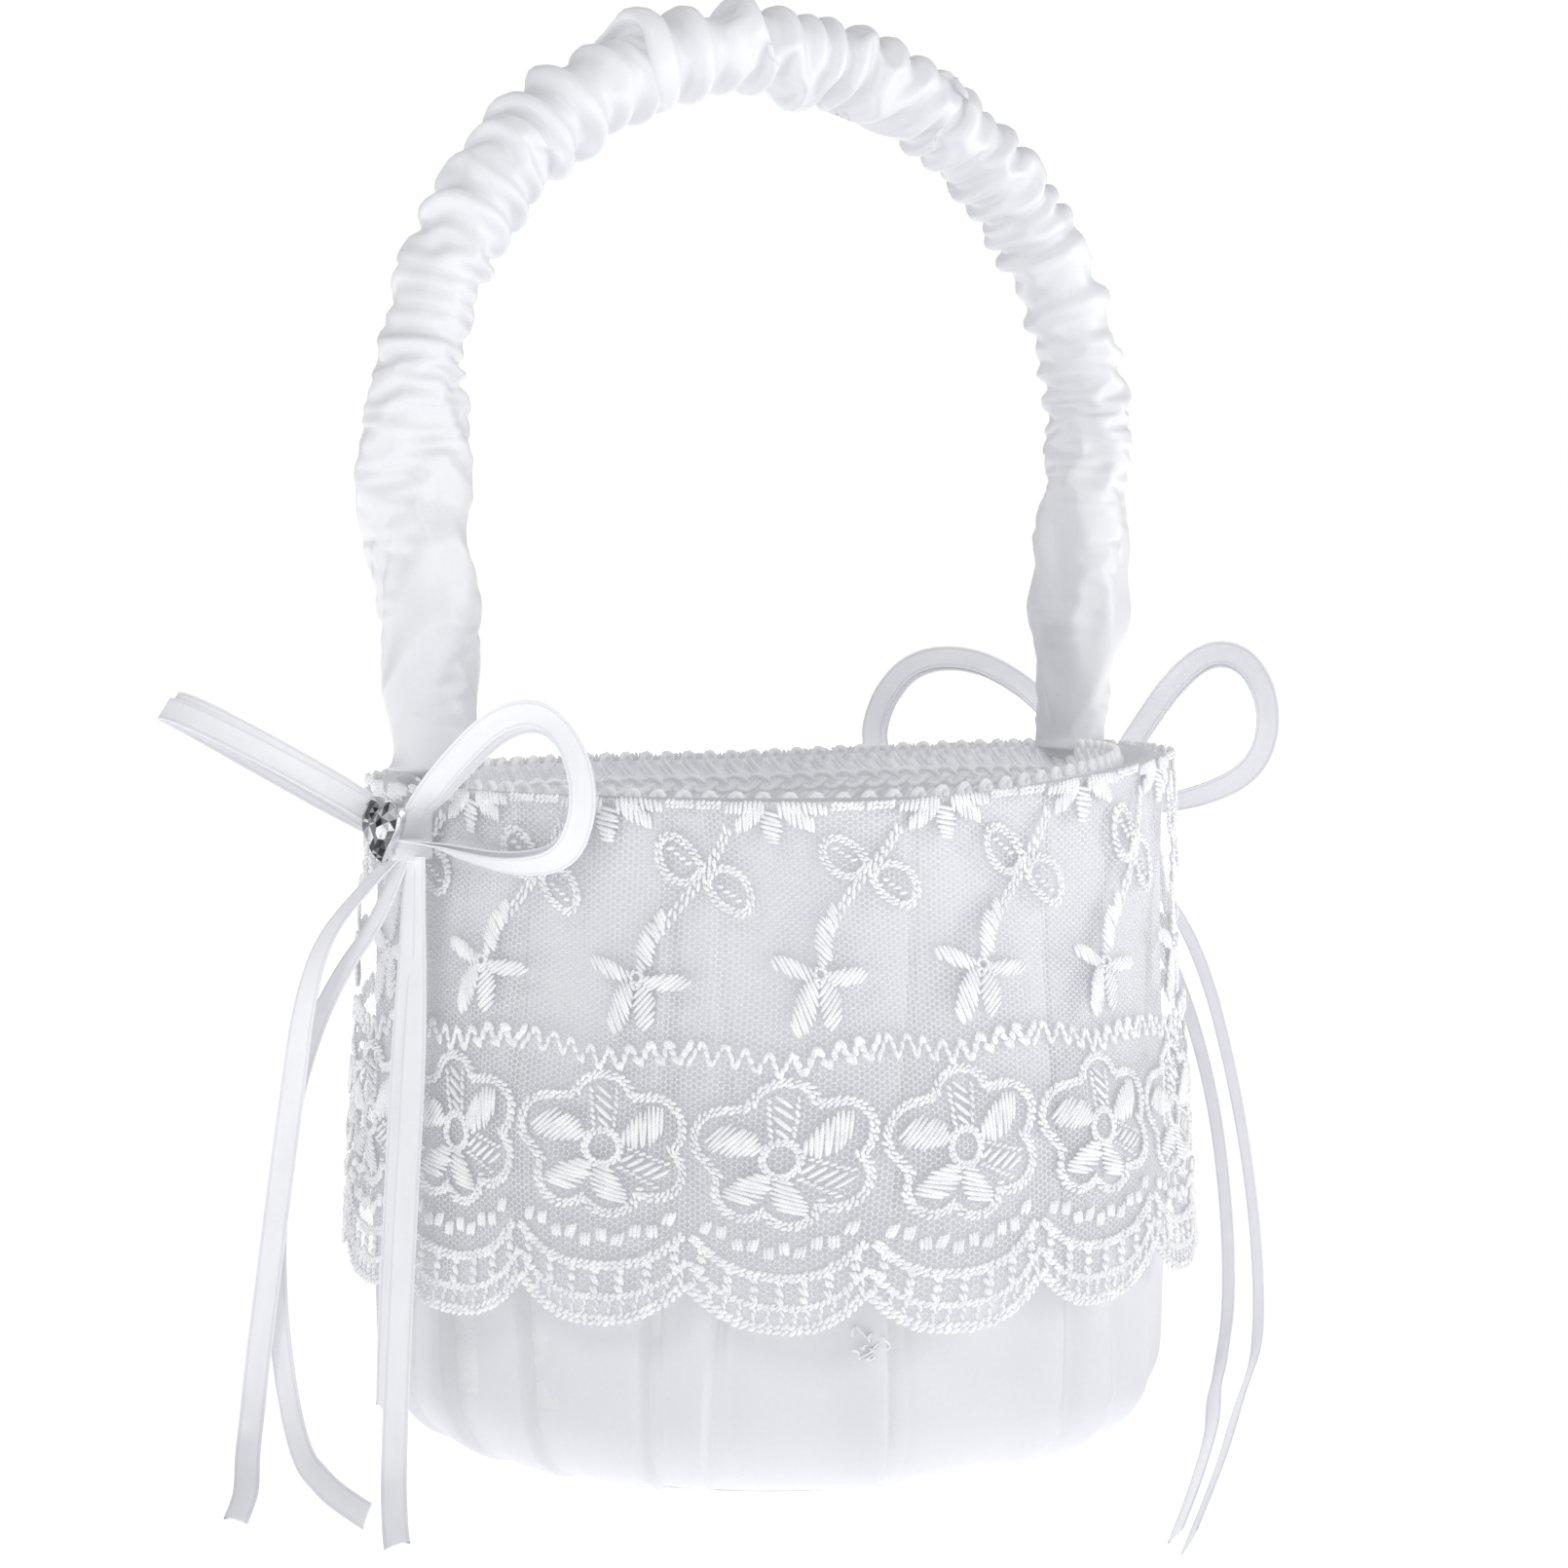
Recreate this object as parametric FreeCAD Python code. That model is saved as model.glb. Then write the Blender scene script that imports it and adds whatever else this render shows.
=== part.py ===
"""Flower girl basket: a round satin basket with a lace skirt, a ruched arch handle and two ribbon bows.

Millimetres, +Z up. The origin is the centre of the face that the basket stands on. The handle arches
along X. Every piece is written as its own STEP file.
"""

import FreeCAD, Part

import math
import os

Vector = FreeCAD.Vector
UP = Vector(0, 0, 1)

# Driving dimensions.
RIM_HEIGHT = 108.7            # top of the satin cover
BODY_RADIUS = 65.0            # satin cover, outside
FOOT_RADIUS = 52.0            # where the rounded bottom edge starts
EDGE_RADIUS = 13.0            # the rounded bottom edge
DISC_THICK = 0.8
DISC_RADIUS = 51.0
COVER_THICK = 0.5
WALL_BOARD = (62.4, 63.6)     # inner and outer radius
WALL_FLEECE = (63.7, 64.4)
LINING = (59.6, 60.1)
BASE_BOARD_LOW = 9.6
BASE_BOARD_THICK = 1.6
INSERT_RADIUS = 59.3
INSERT_THICK = 6.0
GIMP = (57.9, 59.5)
GIMP_LOW = 97.5
GIMP_HIGH = 110.2

SKIRT_TOP_RADIUS = 66.4
SKIRT_TOP = 108.6
SKIRT_FLARE = 0.063           # growth of the radius for each millimetre down
SKIRT_THICK = 0.45
HEM_LOW = 29.0                # lowest point of a scallop
HEM_CUSP = 35.5               # the notch between two scallops
SCALLOPS = 16
HEM_TURN = -5.75              # degrees from an even start at +Y to the pattern's start

CORE_CENTRE = 61.1            # distance of the strip's ends from the axis
CORE_HALF = (0.65, 4.5)       # half thickness, half width
CORE_FOOT = 70.0
KINK_HEIGHT = 110.5           # above this the legs lean outwards
ARCH_HALF_SPAN = 64.5
ARCH_START = 160.0            # height where the legs end and the arch begins
SLEEVE_HALF = (7.5, 9.5)
SLEEVE_THICK = 0.5
WADDING_HALF = (5.2, 7.0)     # the sleeve is loose round the fleece
SLEEVE_FOOT = 111.4
TONGUE_FOOT = 75.0
STAPLE_HEIGHTS = (82.0, 96.0)

BOW_TURN = 7.5                # degrees that each bow sits round from the handle's plane
KNOT_HEIGHT = 101.8
WRAP = (67.7, 74.1)           # near and far side of the knot wrap, from the axis
WRAP_WIDTH = 8.0
WRAP_TALL = 9.5
RIBBON_WIDTH = 4.0
RIBBON_THICK = 0.35
LOOP_OUT = 70.9               # distance of the loops' feet from the axis
LOOP_FOOT_RADIUS = 1.7
TAIL_DIAMETER = 1.34          # round section with the area of the ribbon
TAIL_START = 95.4

GEM_WIDTH = 9.4
GEM_SETTING_EDGE = 0.5


def ring(inner, outer, low, high):
    """A straight tube about the Z axis."""
    tube = Part.makeCylinder(outer, high - low, Vector(0, 0, low))
    return tube.cut(Part.makeCylinder(inner, high - low, Vector(0, 0, low)))


def turned(points_and_arcs):
    """A solid of revolution from (x, z) corners; an item of two points is an arc's middle and end."""
    edges = []
    start = points_and_arcs[0]
    for item in list(points_and_arcs[1:]) + [start]:
        here = Vector(start[0], 0, start[1])
        if len(item) == 2 and isinstance(item[0], tuple):
            middle, end = item
            edges.append(Part.Arc(here, Vector(middle[0], 0, middle[1]), Vector(end[0], 0, end[1])).toShape())
            start = end
        else:
            edges.append(Part.makeLine(here, Vector(item[0], 0, item[1])))
            start = item
    return Part.Face(Part.Wire(edges)).revolve(Vector(0, 0, 0), UP, 360)


def bottom_arc(inset):
    """The rounded bottom edge, moved in by inset: its start, middle and end as (x, z)."""
    radius = EDGE_RADIUS - inset
    centre = (FOOT_RADIUS, DISC_THICK + EDGE_RADIUS)
    half = radius * math.sqrt(0.5)
    low = (centre[0], centre[1] - radius)
    middle = (centre[0] + half, centre[1] - half)
    high = (centre[0] + radius, centre[1])
    return low, middle, high


# ---- body ----

def make_satin_cover():
    """One skin: bottom, rounded edge, wall, and the turn over the rim."""
    out_low, out_middle, out_high = bottom_arc(0)
    in_low, in_middle, in_high = bottom_arc(COVER_THICK)
    rim_outer = BODY_RADIUS + 0.4
    fold = WALL_BOARD[0] + 0.1
    return turned([
        (0, out_low[1]), out_low, (out_middle, out_high),
        (rim_outer, RIM_HEIGHT), (fold, RIM_HEIGHT), (fold, RIM_HEIGHT - COVER_THICK),
        (rim_outer - COVER_THICK, RIM_HEIGHT - COVER_THICK), in_high, (in_middle, in_low),
        (0, in_low[1]),
    ])


def make_base_wadding():
    """Foam that fills the rounded bottom under the base board."""
    inset = COVER_THICK + 0.1
    low = bottom_arc(inset)[0]
    top = BASE_BOARD_LOW - 0.2
    radius = EDGE_RADIUS - inset
    centre_height = DISC_THICK + EDGE_RADIUS
    rise = centre_height - top
    reach = math.sqrt(radius ** 2 - rise ** 2)
    angle = (math.pi / 2 + math.asin(rise / radius)) / 2
    middle = (FOOT_RADIUS + radius * math.cos(angle), centre_height - radius * math.sin(angle))
    return turned([(0, low[1]), low, (middle, (FOOT_RADIUS + reach, top)), (0, top)])


def make_floor_satin():
    """Satin cap over the padded insert, closed underneath by the insert's board."""
    low = BASE_BOARD_LOW + BASE_BOARD_THICK + 0.1
    high = low + INSERT_THICK
    skin = 0.4
    outer = Part.makeCylinder(INSERT_RADIUS, high - low, Vector(0, 0, low))
    outer = outer.makeFillet(2.0, [e for e in outer.Edges if e.BoundBox.ZMin > high - 0.01])
    inner = Part.makeCylinder(INSERT_RADIUS - skin, high - low - skin, Vector(0, 0, low))
    inner = inner.makeFillet(1.6, [e for e in inner.Edges if e.BoundBox.ZMin > high - skin - 0.01])
    return outer.cut(inner)


def make_insert_layers():
    """The insert's board and the fleece on it, both inside its satin cap."""
    low = BASE_BOARD_LOW + BASE_BOARD_THICK + 0.1
    board_top = low + 1.2
    radius = INSERT_RADIUS - 0.6
    board = Part.makeCylinder(radius, board_top - low, Vector(0, 0, low))
    fleece_top = low + INSERT_THICK - 0.5
    fleece = Part.makeCylinder(radius, fleece_top - board_top - 0.1, Vector(0, 0, board_top + 0.1))
    fleece = fleece.makeFillet(1.5, [e for e in fleece.Edges if e.BoundBox.ZMin > fleece_top - 0.01])
    return board, fleece


# ---- lace skirt ----

def skirt_radius(height):
    return SKIRT_TOP_RADIUS + (SKIRT_TOP - height) * SKIRT_FLARE


def make_lace_skirt():
    """A flared skin with a scalloped hem, sewn on at the rim."""
    wide = skirt_radius(HEM_LOW)
    narrow = skirt_radius(SKIRT_TOP)
    height = SKIRT_TOP - HEM_LOW
    outer = Part.makeCone(wide, narrow, height, Vector(0, 0, HEM_LOW))
    inner = Part.makeCone(wide - SKIRT_THICK, narrow - SKIRT_THICK, height, Vector(0, 0, HEM_LOW))
    skirt = outer.cut(inner)
    half = math.pi * wide / SCALLOPS
    below = HEM_LOW - 2
    notch = [
        Part.Arc(Vector(0, 0, HEM_CUSP), Vector(half * 0.4, 0, HEM_LOW + 2.2), Vector(half, 0, HEM_LOW)).toShape(),
        Part.makeLine(Vector(half, 0, HEM_LOW), Vector(half, 0, below)),
        Part.makeLine(Vector(half, 0, below), Vector(-half, 0, below)),
        Part.makeLine(Vector(-half, 0, below), Vector(-half, 0, HEM_LOW)),
        Part.Arc(Vector(-half, 0, HEM_LOW), Vector(-half * 0.4, 0, HEM_LOW + 2.2), Vector(0, 0, HEM_CUSP)).toShape(),
    ]
    cutter = Part.Face(Part.Wire(notch)).extrude(Vector(0, 14, 0))
    cutter.translate(Vector(0, BODY_RADIUS - 4, 0))
    for index in range(SCALLOPS):
        piece = cutter.copy()
        piece.rotate(Vector(0, 0, 0), UP, HEM_TURN + (index + 0.5) * 360 / SCALLOPS)
        skirt = skirt.cut(piece)
    return skirt


# ---- handle ----

LEAN = math.atan((ARCH_HALF_SPAN - CORE_CENTRE) / (ARCH_START - KINK_HEIGHT))
ARCH_RADIUS = ARCH_HALF_SPAN / math.cos(LEAN)
ARCH_CENTRE = ARCH_START + ARCH_RADIUS * math.sin(LEAN)


def section_face(half_radial, half_wide, is_round):
    """The handle's section at the top of the +X leg, square to the leg."""
    centre = Vector(ARCH_HALF_SPAN, 0, ARCH_START)
    radial = Vector(math.cos(LEAN), 0, -math.sin(LEAN))
    if is_round:
        along = Vector(0, 1, 0)
        ellipse = Part.Ellipse(centre + along * half_wide, centre + radial * half_radial, centre)
        return Part.Face(Part.Wire(ellipse.toShape()))
    corners = []
    for side, flat in ((1, 1), (1, -1), (-1, -1), (-1, 1)):
        corners.append(centre + radial * (half_radial * side) + Vector(0, half_wide * flat, 0))
    return Part.Face(Part.makePolygon(corners + corners[:1]))


def arch(half_radial, half_wide, is_round, foot):
    """A bar along the handle: two leaning legs down to the height foot, and the arch between them."""
    face = section_face(half_radial, half_wide, is_round)
    sweep = 180 + 2 * math.degrees(LEAN)
    bow = face.revolve(Vector(0, 0, ARCH_CENTRE), Vector(0, -1, 0), sweep)
    length = (ARCH_START - foot) / math.cos(LEAN)
    leg = face.extrude(Vector(-math.sin(LEAN), 0, -math.cos(LEAN)) * length)
    other = leg.mirror(Vector(0, 0, 0), Vector(1, 0, 0))
    return bow.fuse([leg, other]).removeSplitter()


def foot_bar(half_radial, half_wide, low, high):
    """The upright ends of the handle, on both sides."""
    bar = Part.makeBox(2 * half_radial, 2 * half_wide, high - low,
                       Vector(CORE_CENTRE - half_radial, -half_wide, low))
    return [bar, bar.mirror(Vector(0, 0, 0), Vector(1, 0, 0))]


def make_handle_core(spare=0.0):
    half_radial, half_wide = CORE_HALF[0] + spare, CORE_HALF[1] + spare
    strip = arch(half_radial, half_wide, False, KINK_HEIGHT - 0.1)
    feet = foot_bar(half_radial, half_wide, CORE_FOOT - spare, KINK_HEIGHT)
    return strip.fuse(feet).removeSplitter()


def make_handle_wadding(core_room):
    return arch(WADDING_HALF[0], WADDING_HALF[1], True, SLEEVE_FOOT + 0.8).cut(core_room)


def make_handle_sleeve(core_room):
    """Round satin sleeve, with a flat tongue round each end of the strip."""
    sleeve = arch(SLEEVE_HALF[0], SLEEVE_HALF[1], True, SLEEVE_FOOT)
    hollow = arch(SLEEVE_HALF[0] - SLEEVE_THICK, SLEEVE_HALF[1] - SLEEVE_THICK, True, SLEEVE_FOOT + 0.6)
    tongues = foot_bar(CORE_HALF[0] + 0.25, CORE_HALF[1] + 0.6, TONGUE_FOOT, SLEEVE_FOOT + 0.3)
    return sleeve.cut(hollow).fuse(tongues).cut(core_room)


def staples(spare=0.0):
    """Two staples in each end of the strip: a crown outside the wall board and two legs through it."""
    wire = 0.5 + 2 * spare
    pieces = []
    for height in STAPLE_HEIGHTS:
        crown_low = WALL_BOARD[1] + 0.05
        shape = Part.makeBox(wire, 6.9, wire, Vector(crown_low - spare, -3.45, height - wire / 2))
        for side in (-1, 1):
            leg = Part.makeBox(crown_low - CORE_CENTRE + 1.0, wire, wire,
                               Vector(CORE_CENTRE - 0.8, side * 3.2 - wire / 2, height - wire / 2))
            shape = shape.fuse(leg)
        pieces.append(shape.removeSplitter())
        pieces.append(shape.mirror(Vector(0, 0, 0), Vector(1, 0, 0)).removeSplitter())
    return pieces


# ---- bows ----

SIDES = {"left": 180 + BOW_TURN, "right": BOW_TURN}


def bow_axes(side):
    """Outward and sideways directions at a bow; sideways runs anticlockwise seen from above."""
    angle = math.radians(SIDES[side])
    outward = Vector(math.cos(angle), math.sin(angle), 0)
    sideways = Vector(-math.sin(angle), math.cos(angle), 0)
    return outward, sideways


def placed_on_bow(shape, side, distance, height):
    """Puts a shape drawn with x sideways, y up and z outward on a bow."""
    outward, sideways = bow_axes(side)
    shape = shape.copy()
    turn = FreeCAD.Rotation(sideways, UP, outward, "XYZ")
    shape.Placement = FreeCAD.Placement(outward * distance + UP * height, turn)
    return shape


def stitches(side, spare=0.0):
    """Two threads that hold the knot wrap to the wall."""
    outward, sideways = bow_axes(side)
    start = WALL_BOARD[0] + 0.2
    length = WRAP[0] + 0.9 - start
    threads = []
    for offset in (-2.0, 2.0):
        base = outward * start + sideways * offset + UP * KNOT_HEIGHT
        threads.append(Part.makeCylinder(0.3 + spare, length + spare, base, outward))
    return threads


def make_wrap(side):
    depth = WRAP[1] - WRAP[0]
    block = Part.makeBox(WRAP_WIDTH, WRAP_TALL, depth, Vector(-WRAP_WIDTH / 2, -WRAP_TALL / 2, 0))
    block = block.makeFillet(1.4, block.Edges)
    block = placed_on_bow(block, side, WRAP[0], KNOT_HEIGHT)
    return block.cut(stitches(side, 0.05))


def belt(foot_radius, tip_radius, length, rise):
    """Outline of a ribbon loop in (x, z): a small foot circle and a large tip circle with their tangents."""
    reach = math.hypot(length, rise)
    tilt = math.atan2(rise, length)
    spread = math.acos((foot_radius - tip_radius) / reach)
    foot, tip = Vector(0, 0, 0), Vector(length, 0, rise)

    def on(centre, radius, angle):
        return centre + Vector(math.cos(angle), 0, math.sin(angle)) * radius

    upper, lower = tilt + spread, tilt - spread
    edges = [
        Part.makeLine(on(foot, foot_radius, upper), on(tip, tip_radius, upper)),
        Part.Arc(on(tip, tip_radius, upper), on(tip, tip_radius, tilt), on(tip, tip_radius, lower)).toShape(),
        Part.makeLine(on(tip, tip_radius, lower), on(foot, foot_radius, lower)),
        Part.Arc(on(foot, foot_radius, lower), on(foot, foot_radius, tilt + math.pi),
                 on(foot, foot_radius, upper)).toShape(),
    ]
    return Part.Face(Part.Wire(edges))


def ribbon_loop(foot, towards, tip_radius, length, rise, inset):
    """A closed band of ribbon that stands on its edge, from its foot at the knot towards a point."""
    near = LOOP_FOOT_RADIUS - inset
    far = tip_radius - inset
    band = belt(near, far, length, rise)
    band = band.cut(belt(near - RIBBON_THICK, far - RIBBON_THICK, length, rise))
    band = band.extrude(Vector(0, RIBBON_WIDTH, 0))
    band.translate(Vector(LOOP_FOOT_RADIUS, -RIBBON_WIDTH / 2, 0))
    heading = math.degrees(math.atan2(towards.y - foot.y, towards.x - foot.x))
    band.rotate(Vector(0, 0, 0), UP, heading)
    band.translate(foot)
    return band


# Each loop: bow, name, which way round it leaves the knot, its gap to the wrap, the point it heads for,
# the radius of its tip, the length to the tip's centre, and how far that centre lies above the foot.
LOOPS = [
    ("left", "front", 1, 0.6, (-62.5, -47.0), 10.5, 24.0, 7.0),
    ("left", "back", -1, 3.4, (-98.0, 24.0), 3.6, 30.0, 16.0),
    ("right", "front", -1, 1.4, (86.0, -28.0), 12.0, 20.0, 14.0),
    ("right", "back", 1, 0.6, (58.0, 57.0), 8.5, 37.0, 17.0),
]


def make_loops():
    shapes = {}
    for side, name, sign, gap, towards, tip_radius, length, rise in LOOPS:
        outward, sideways = bow_axes(side)
        foot = outward * LOOP_OUT + sideways * (sign * (WRAP_WIDTH / 2 + gap)) + UP * (KNOT_HEIGHT + 0.5)
        target = Vector(towards[0], towards[1], foot.z)
        for layer, inset in (("outer", 0.0), ("inner", 0.7)):
            node = f"{side}_bow_{name}_loop_{layer}"
            shapes[node] = ribbon_loop(foot, target, tip_radius, length, rise, inset)
    return shapes


# Routes of the free ribbon tails, from the knot down to the surface and along it.
FLOOR = TAIL_DIAMETER / 2 + 0.03
TAILS = {
    "left_tail_outer": [
        (-70.7, -6.1, TAIL_START), (-77.4, -5.4, 92.0), (-82.6, -4.0, 85.0), (-85.0, -2.2, 75.0),
        (-85.7, 1.0, 61.0), (-86.8, 4.2, 45.0), (-87.6, 7.4, 30.0), (-88.5, 9.6, 17.5), (-89.6, 9.4, 8.6),
        (-92.0, 5.6, 2.7), (-94.8, -1.6, FLOOR), (-98.8, -10.6, FLOOR), (-103.4, -19.4, FLOOR),
    ],
    "left_tail_back": [
        (-70.4, -8.2, TAIL_START), (-73.8, -6.2, 88.2), (-78.4, -2.6, 80.6), (-82.3, 1.8, 69.6),
        (-84.9, 5.6, 55.6), (-85.8, 8.4, 40.4), (-85.3, 9.6, 26.0), (-84.3, 9.0, 14.4), (-83.9, 6.2, 6.6),
        (-84.4, 0.4, 2.2), (-85.6, -8.2, FLOOR), (-87.4, -19.6, FLOOR), (-87.6, -32.4, FLOOR),
    ],
    "left_tail_middle": [
        (-70.2, -10.3, TAIL_START), (-70.9, -10.9, 86.8), (-71.8, -11.8, 77.4), (-73.1, -12.8, 65.0),
        (-74.4, -13.8, 50.6), (-75.6, -14.7, 36.4), (-76.6, -15.2, 23.4), (-77.2, -16.0, 12.6),
    ],
    "left_tail_front": [
        (-69.9, -12.4, TAIL_START), (-70.2, -12.9, 86.2), (-71.1, -14.0, 76.4), (-72.6, -15.6, 63.4),
        (-74.3, -17.2, 49.0), (-75.9, -18.8, 35.0), (-77.3, -20.2, 22.0), (-78.5, -21.8, 11.2),
        (-80.0, -24.6, 4.4), (-82.0, -29.4, 1.6), (-84.8, -36.2, FLOOR), (-87.8, -43.8, FLOOR),
    ],
    "right_tail_outer": [
        (70.7, 6.1, TAIL_START), (75.6, 5.4, 91.2), (82.0, 4.2, 87.2), (88.2, 2.8, 80.0),
        (93.2, 1.2, 68.4), (97.0, 0.0, 54.0), (99.4, -1.8, 39.0), (100.0, -4.2, 25.0), (98.6, -7.6, 13.2),
        (94.8, -12.3, 4.6), (88.2, -19.4, 1.4), (78.4, -30.0, FLOOR), (65.1, -44.6, FLOOR),
        (48.4, -63.6, FLOOR), (29.1, -84.6, FLOOR), (10.8, -104.0, FLOOR),
    ],
    "right_tail_front": [
        (70.4, 8.2, TAIL_START), (74.8, 7.2, 87.8), (80.6, 5.2, 81.6), (85.8, 2.8, 72.4),
        (90.0, 0.6, 59.6), (92.8, -1.4, 45.6), (94.0, -3.0, 31.8), (93.4, -5.4, 18.8), (90.6, -9.0, 8.6),
        (85.4, -14.0, 3.0), (78.0, -22.8, FLOOR), (67.8, -34.5, FLOOR), (55.5, -50.7, FLOOR),
        (40.8, -67.6, FLOOR), (25.1, -85.2, FLOOR), (10.7, -100.7, FLOOR),
    ],
    "right_tail_middle": [
        (70.2, 10.3, TAIL_START), (72.8, 11.0, 86.6), (75.4, 12.4, 77.0), (77.4, 14.4, 64.4),
        (78.6, 16.4, 50.0), (79.0, 18.4, 35.6), (79.0, 20.6, 22.2), (79.0, 23.8, 11.0), (78.9, 29.2, 4.0),
        (78.0, 37.2, 1.4), (75.4, 48.6, FLOOR), (70.6, 62.4, FLOOR), (62.0, 75.6, FLOOR),
    ],
    "right_tail_back": [
        (69.9, 12.4, TAIL_START), (71.4, 13.8, 86.0), (72.6, 16.4, 75.8), (73.6, 19.4, 62.6),
        (74.2, 22.4, 48.0), (74.4, 25.0, 34.0), (74.4, 27.6, 21.2), (74.2, 31.0, 10.8), (73.6, 36.4, 4.2),
        (72.2, 43.6, 1.5), (69.2, 53.0, FLOOR), (63.6, 62.8, FLOOR), (55.4, 70.6, FLOOR),
    ],
}


def cord_tube(name, route):
    """A tube along straight runs joined by tangent arcs, each as large as its two runs allow."""
    points = [Vector(*point) for point in route]
    edges = []
    radii = []
    here = points[0]
    for before, corner, after in zip(points, points[1:], points[2:]):
        first, second = corner - before, after - corner
        turn = first.getAngle(second)
        shorter = min(first.Length, second.Length)
        trim = 0.45 * shorter
        radii.append(trim / math.tan(turn / 2))
        start = corner - first.normalize() * trim
        end = corner + second.normalize() * trim
        bisector = ((start + end) * 0.5 - corner).normalize()
        centre_distance = radii[-1] / math.cos(turn / 2)
        middle = corner + bisector * (centre_distance - radii[-1])
        edges.append(Part.LineSegment(here, start).toShape())
        edges.append(Part.Arc(start, middle, end).toShape())
        here = end
    edges.append(Part.LineSegment(here, points[-1]).toShape())
    path = Part.Wire(edges)
    circle = Part.Circle(points[0], points[1] - points[0], TAIL_DIAMETER / 2)
    profile = Part.Wire(circle.toShape())
    tube = path.makePipeShell([profile], True, True)
    section = math.pi * TAIL_DIAMETER ** 2 / 4
    print(f"{name}: length {path.Length:.1f}, smallest radius {min(radii):.1f}, "
          f"volume over section times length {tube.Volume / (section * path.Length):.4f}")
    return tube


# ---- gems ----

def heart(width):
    """A heart's outline, point down, centred on its middle."""
    lobe = width * 0.27
    offset = width * 0.23
    top = width * 0.14
    tip = Vector(0, -width * 0.54, 0)
    lobes = []
    for sign in (-1, 1):
        centre = Vector(sign * offset, top, 0)
        reach = math.hypot(centre.x, centre.y - tip.y)
        toward = math.atan2(tip.y - centre.y, tip.x - centre.x)
        touch = toward + sign * math.acos(lobe / reach)
        edge_point = centre + Vector(math.cos(touch), math.sin(touch), 0) * lobe
        lobes.append((centre, edge_point))
    notch = Vector(0, top + math.sqrt(lobe ** 2 - offset ** 2), 0)
    left_top = lobes[0][0] + Vector(-0.6, 0.8, 0) * lobe
    right_top = lobes[1][0] + Vector(0.6, 0.8, 0) * lobe
    return Part.Wire([
        Part.makeLine(tip, lobes[1][1]),
        Part.Arc(lobes[1][1], right_top, notch).toShape(),
        Part.Arc(notch, left_top, lobes[0][1]).toShape(),
        Part.makeLine(lobes[0][1], tip),
    ])


def make_gem(side):
    """A girdle and a faceted crown that narrows to a smaller flat table."""
    girdle = Part.Face(heart(GEM_WIDTH)).extrude(Vector(0, 0, 0.8))
    lower = heart(GEM_WIDTH)
    lower.translate(Vector(0, 0, 0.8))
    upper = heart(GEM_WIDTH * 0.58)
    upper.translate(Vector(0, 0, 2.9))
    crown = Part.makeLoft([lower, upper], True, True)
    return placed_on_bow(girdle.fuse(crown).removeSplitter(), side, WRAP[1] + 0.75, KNOT_HEIGHT + 0.6)


def make_gem_setting(side):
    """A thin cup round the gem's girdle."""
    wide = GEM_WIDTH + 2 * GEM_SETTING_EDGE + 0.1
    cup = Part.Face(heart(wide)).extrude(Vector(0, 0, 1.5))
    room = Part.Face(heart(GEM_WIDTH + 0.1)).extrude(Vector(0, 0, 2))
    room.translate(Vector(0, 0, 0.65))
    return placed_on_bow(cup.cut(room), side, WRAP[1] + 0.05, KNOT_HEIGHT + 0.6)


def main():
    os.makedirs("parts", exist_ok=True)
    parts = {}

    parts["bottom_disc"] = Part.makeCylinder(DISC_RADIUS, DISC_THICK)
    parts["satin_cover"] = make_satin_cover()
    parts["base_wadding"] = make_base_wadding()
    parts["base_board"] = Part.makeCylinder(WALL_BOARD[0] - 0.1, BASE_BOARD_THICK, Vector(0, 0, BASE_BOARD_LOW))
    board_top = RIM_HEIGHT - COVER_THICK - 0.1
    parts["wall_board"] = ring(*WALL_BOARD, BASE_BOARD_LOW, board_top)
    parts["wall_wadding"] = ring(*WALL_FLEECE, DISC_THICK + EDGE_RADIUS, board_top)
    parts["lining_wall"] = ring(*LINING, BASE_BOARD_LOW + BASE_BOARD_THICK + 0.1, RIM_HEIGHT)
    parts["gimp_braid"] = ring(*GIMP, GIMP_LOW, GIMP_HIGH)
    parts["floor_satin"] = make_floor_satin()
    parts["floor_board"], parts["floor_wadding"] = make_insert_layers()
    parts["lace_skirt"] = make_lace_skirt()

    core_room = make_handle_core(0.06)
    staple_room = staples(0.05)
    parts["handle_core"] = make_handle_core().cut(staple_room)
    parts["handle_wadding"] = make_handle_wadding(core_room)
    parts["handle_sleeve"] = make_handle_sleeve(core_room).cut(staple_room)
    parts["handle_staples"] = Part.makeCompound(staples())
    parts["wall_board"] = parts["wall_board"].cut(staple_room)
    parts["wall_wadding"] = parts["wall_wadding"].cut(staple_room)

    for side in SIDES:
        thread_room = stitches(side, 0.05)
        for node in ("wall_board", "wall_wadding", "satin_cover", "lace_skirt"):
            parts[node] = parts[node].cut(thread_room)
        parts[f"{side}_bow_stitches"] = Part.makeCompound(stitches(side))
        parts[f"{side}_bow_wrap"] = make_wrap(side)
        parts[f"{side}_gem_setting"] = make_gem_setting(side)
        parts[f"{side}_gem"] = make_gem(side)

    parts.update(make_loops())
    for name, route in TAILS.items():
        parts[name] = cord_tube(name, route)

    for name, shape in parts.items():
        solids = shape.Solids
        assert shape.isValid() and solids, name
        body = solids[0] if len(solids) == 1 else Part.makeCompound(solids)
        body.exportStep(f"parts/{name}.step")
        box = body.BoundBox
        print(f"{name}: {len(solids)} solid, {body.Volume / 1000:.2f} cm3, x {box.XMin:.1f} to {box.XMax:.1f}, "
              f"y {box.YMin:.1f} to {box.YMax:.1f}, z {box.ZMin:.1f} to {box.ZMax:.1f}")


main()
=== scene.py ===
import math
import random

import bpy
import numpy as np
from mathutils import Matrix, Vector, noise


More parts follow.
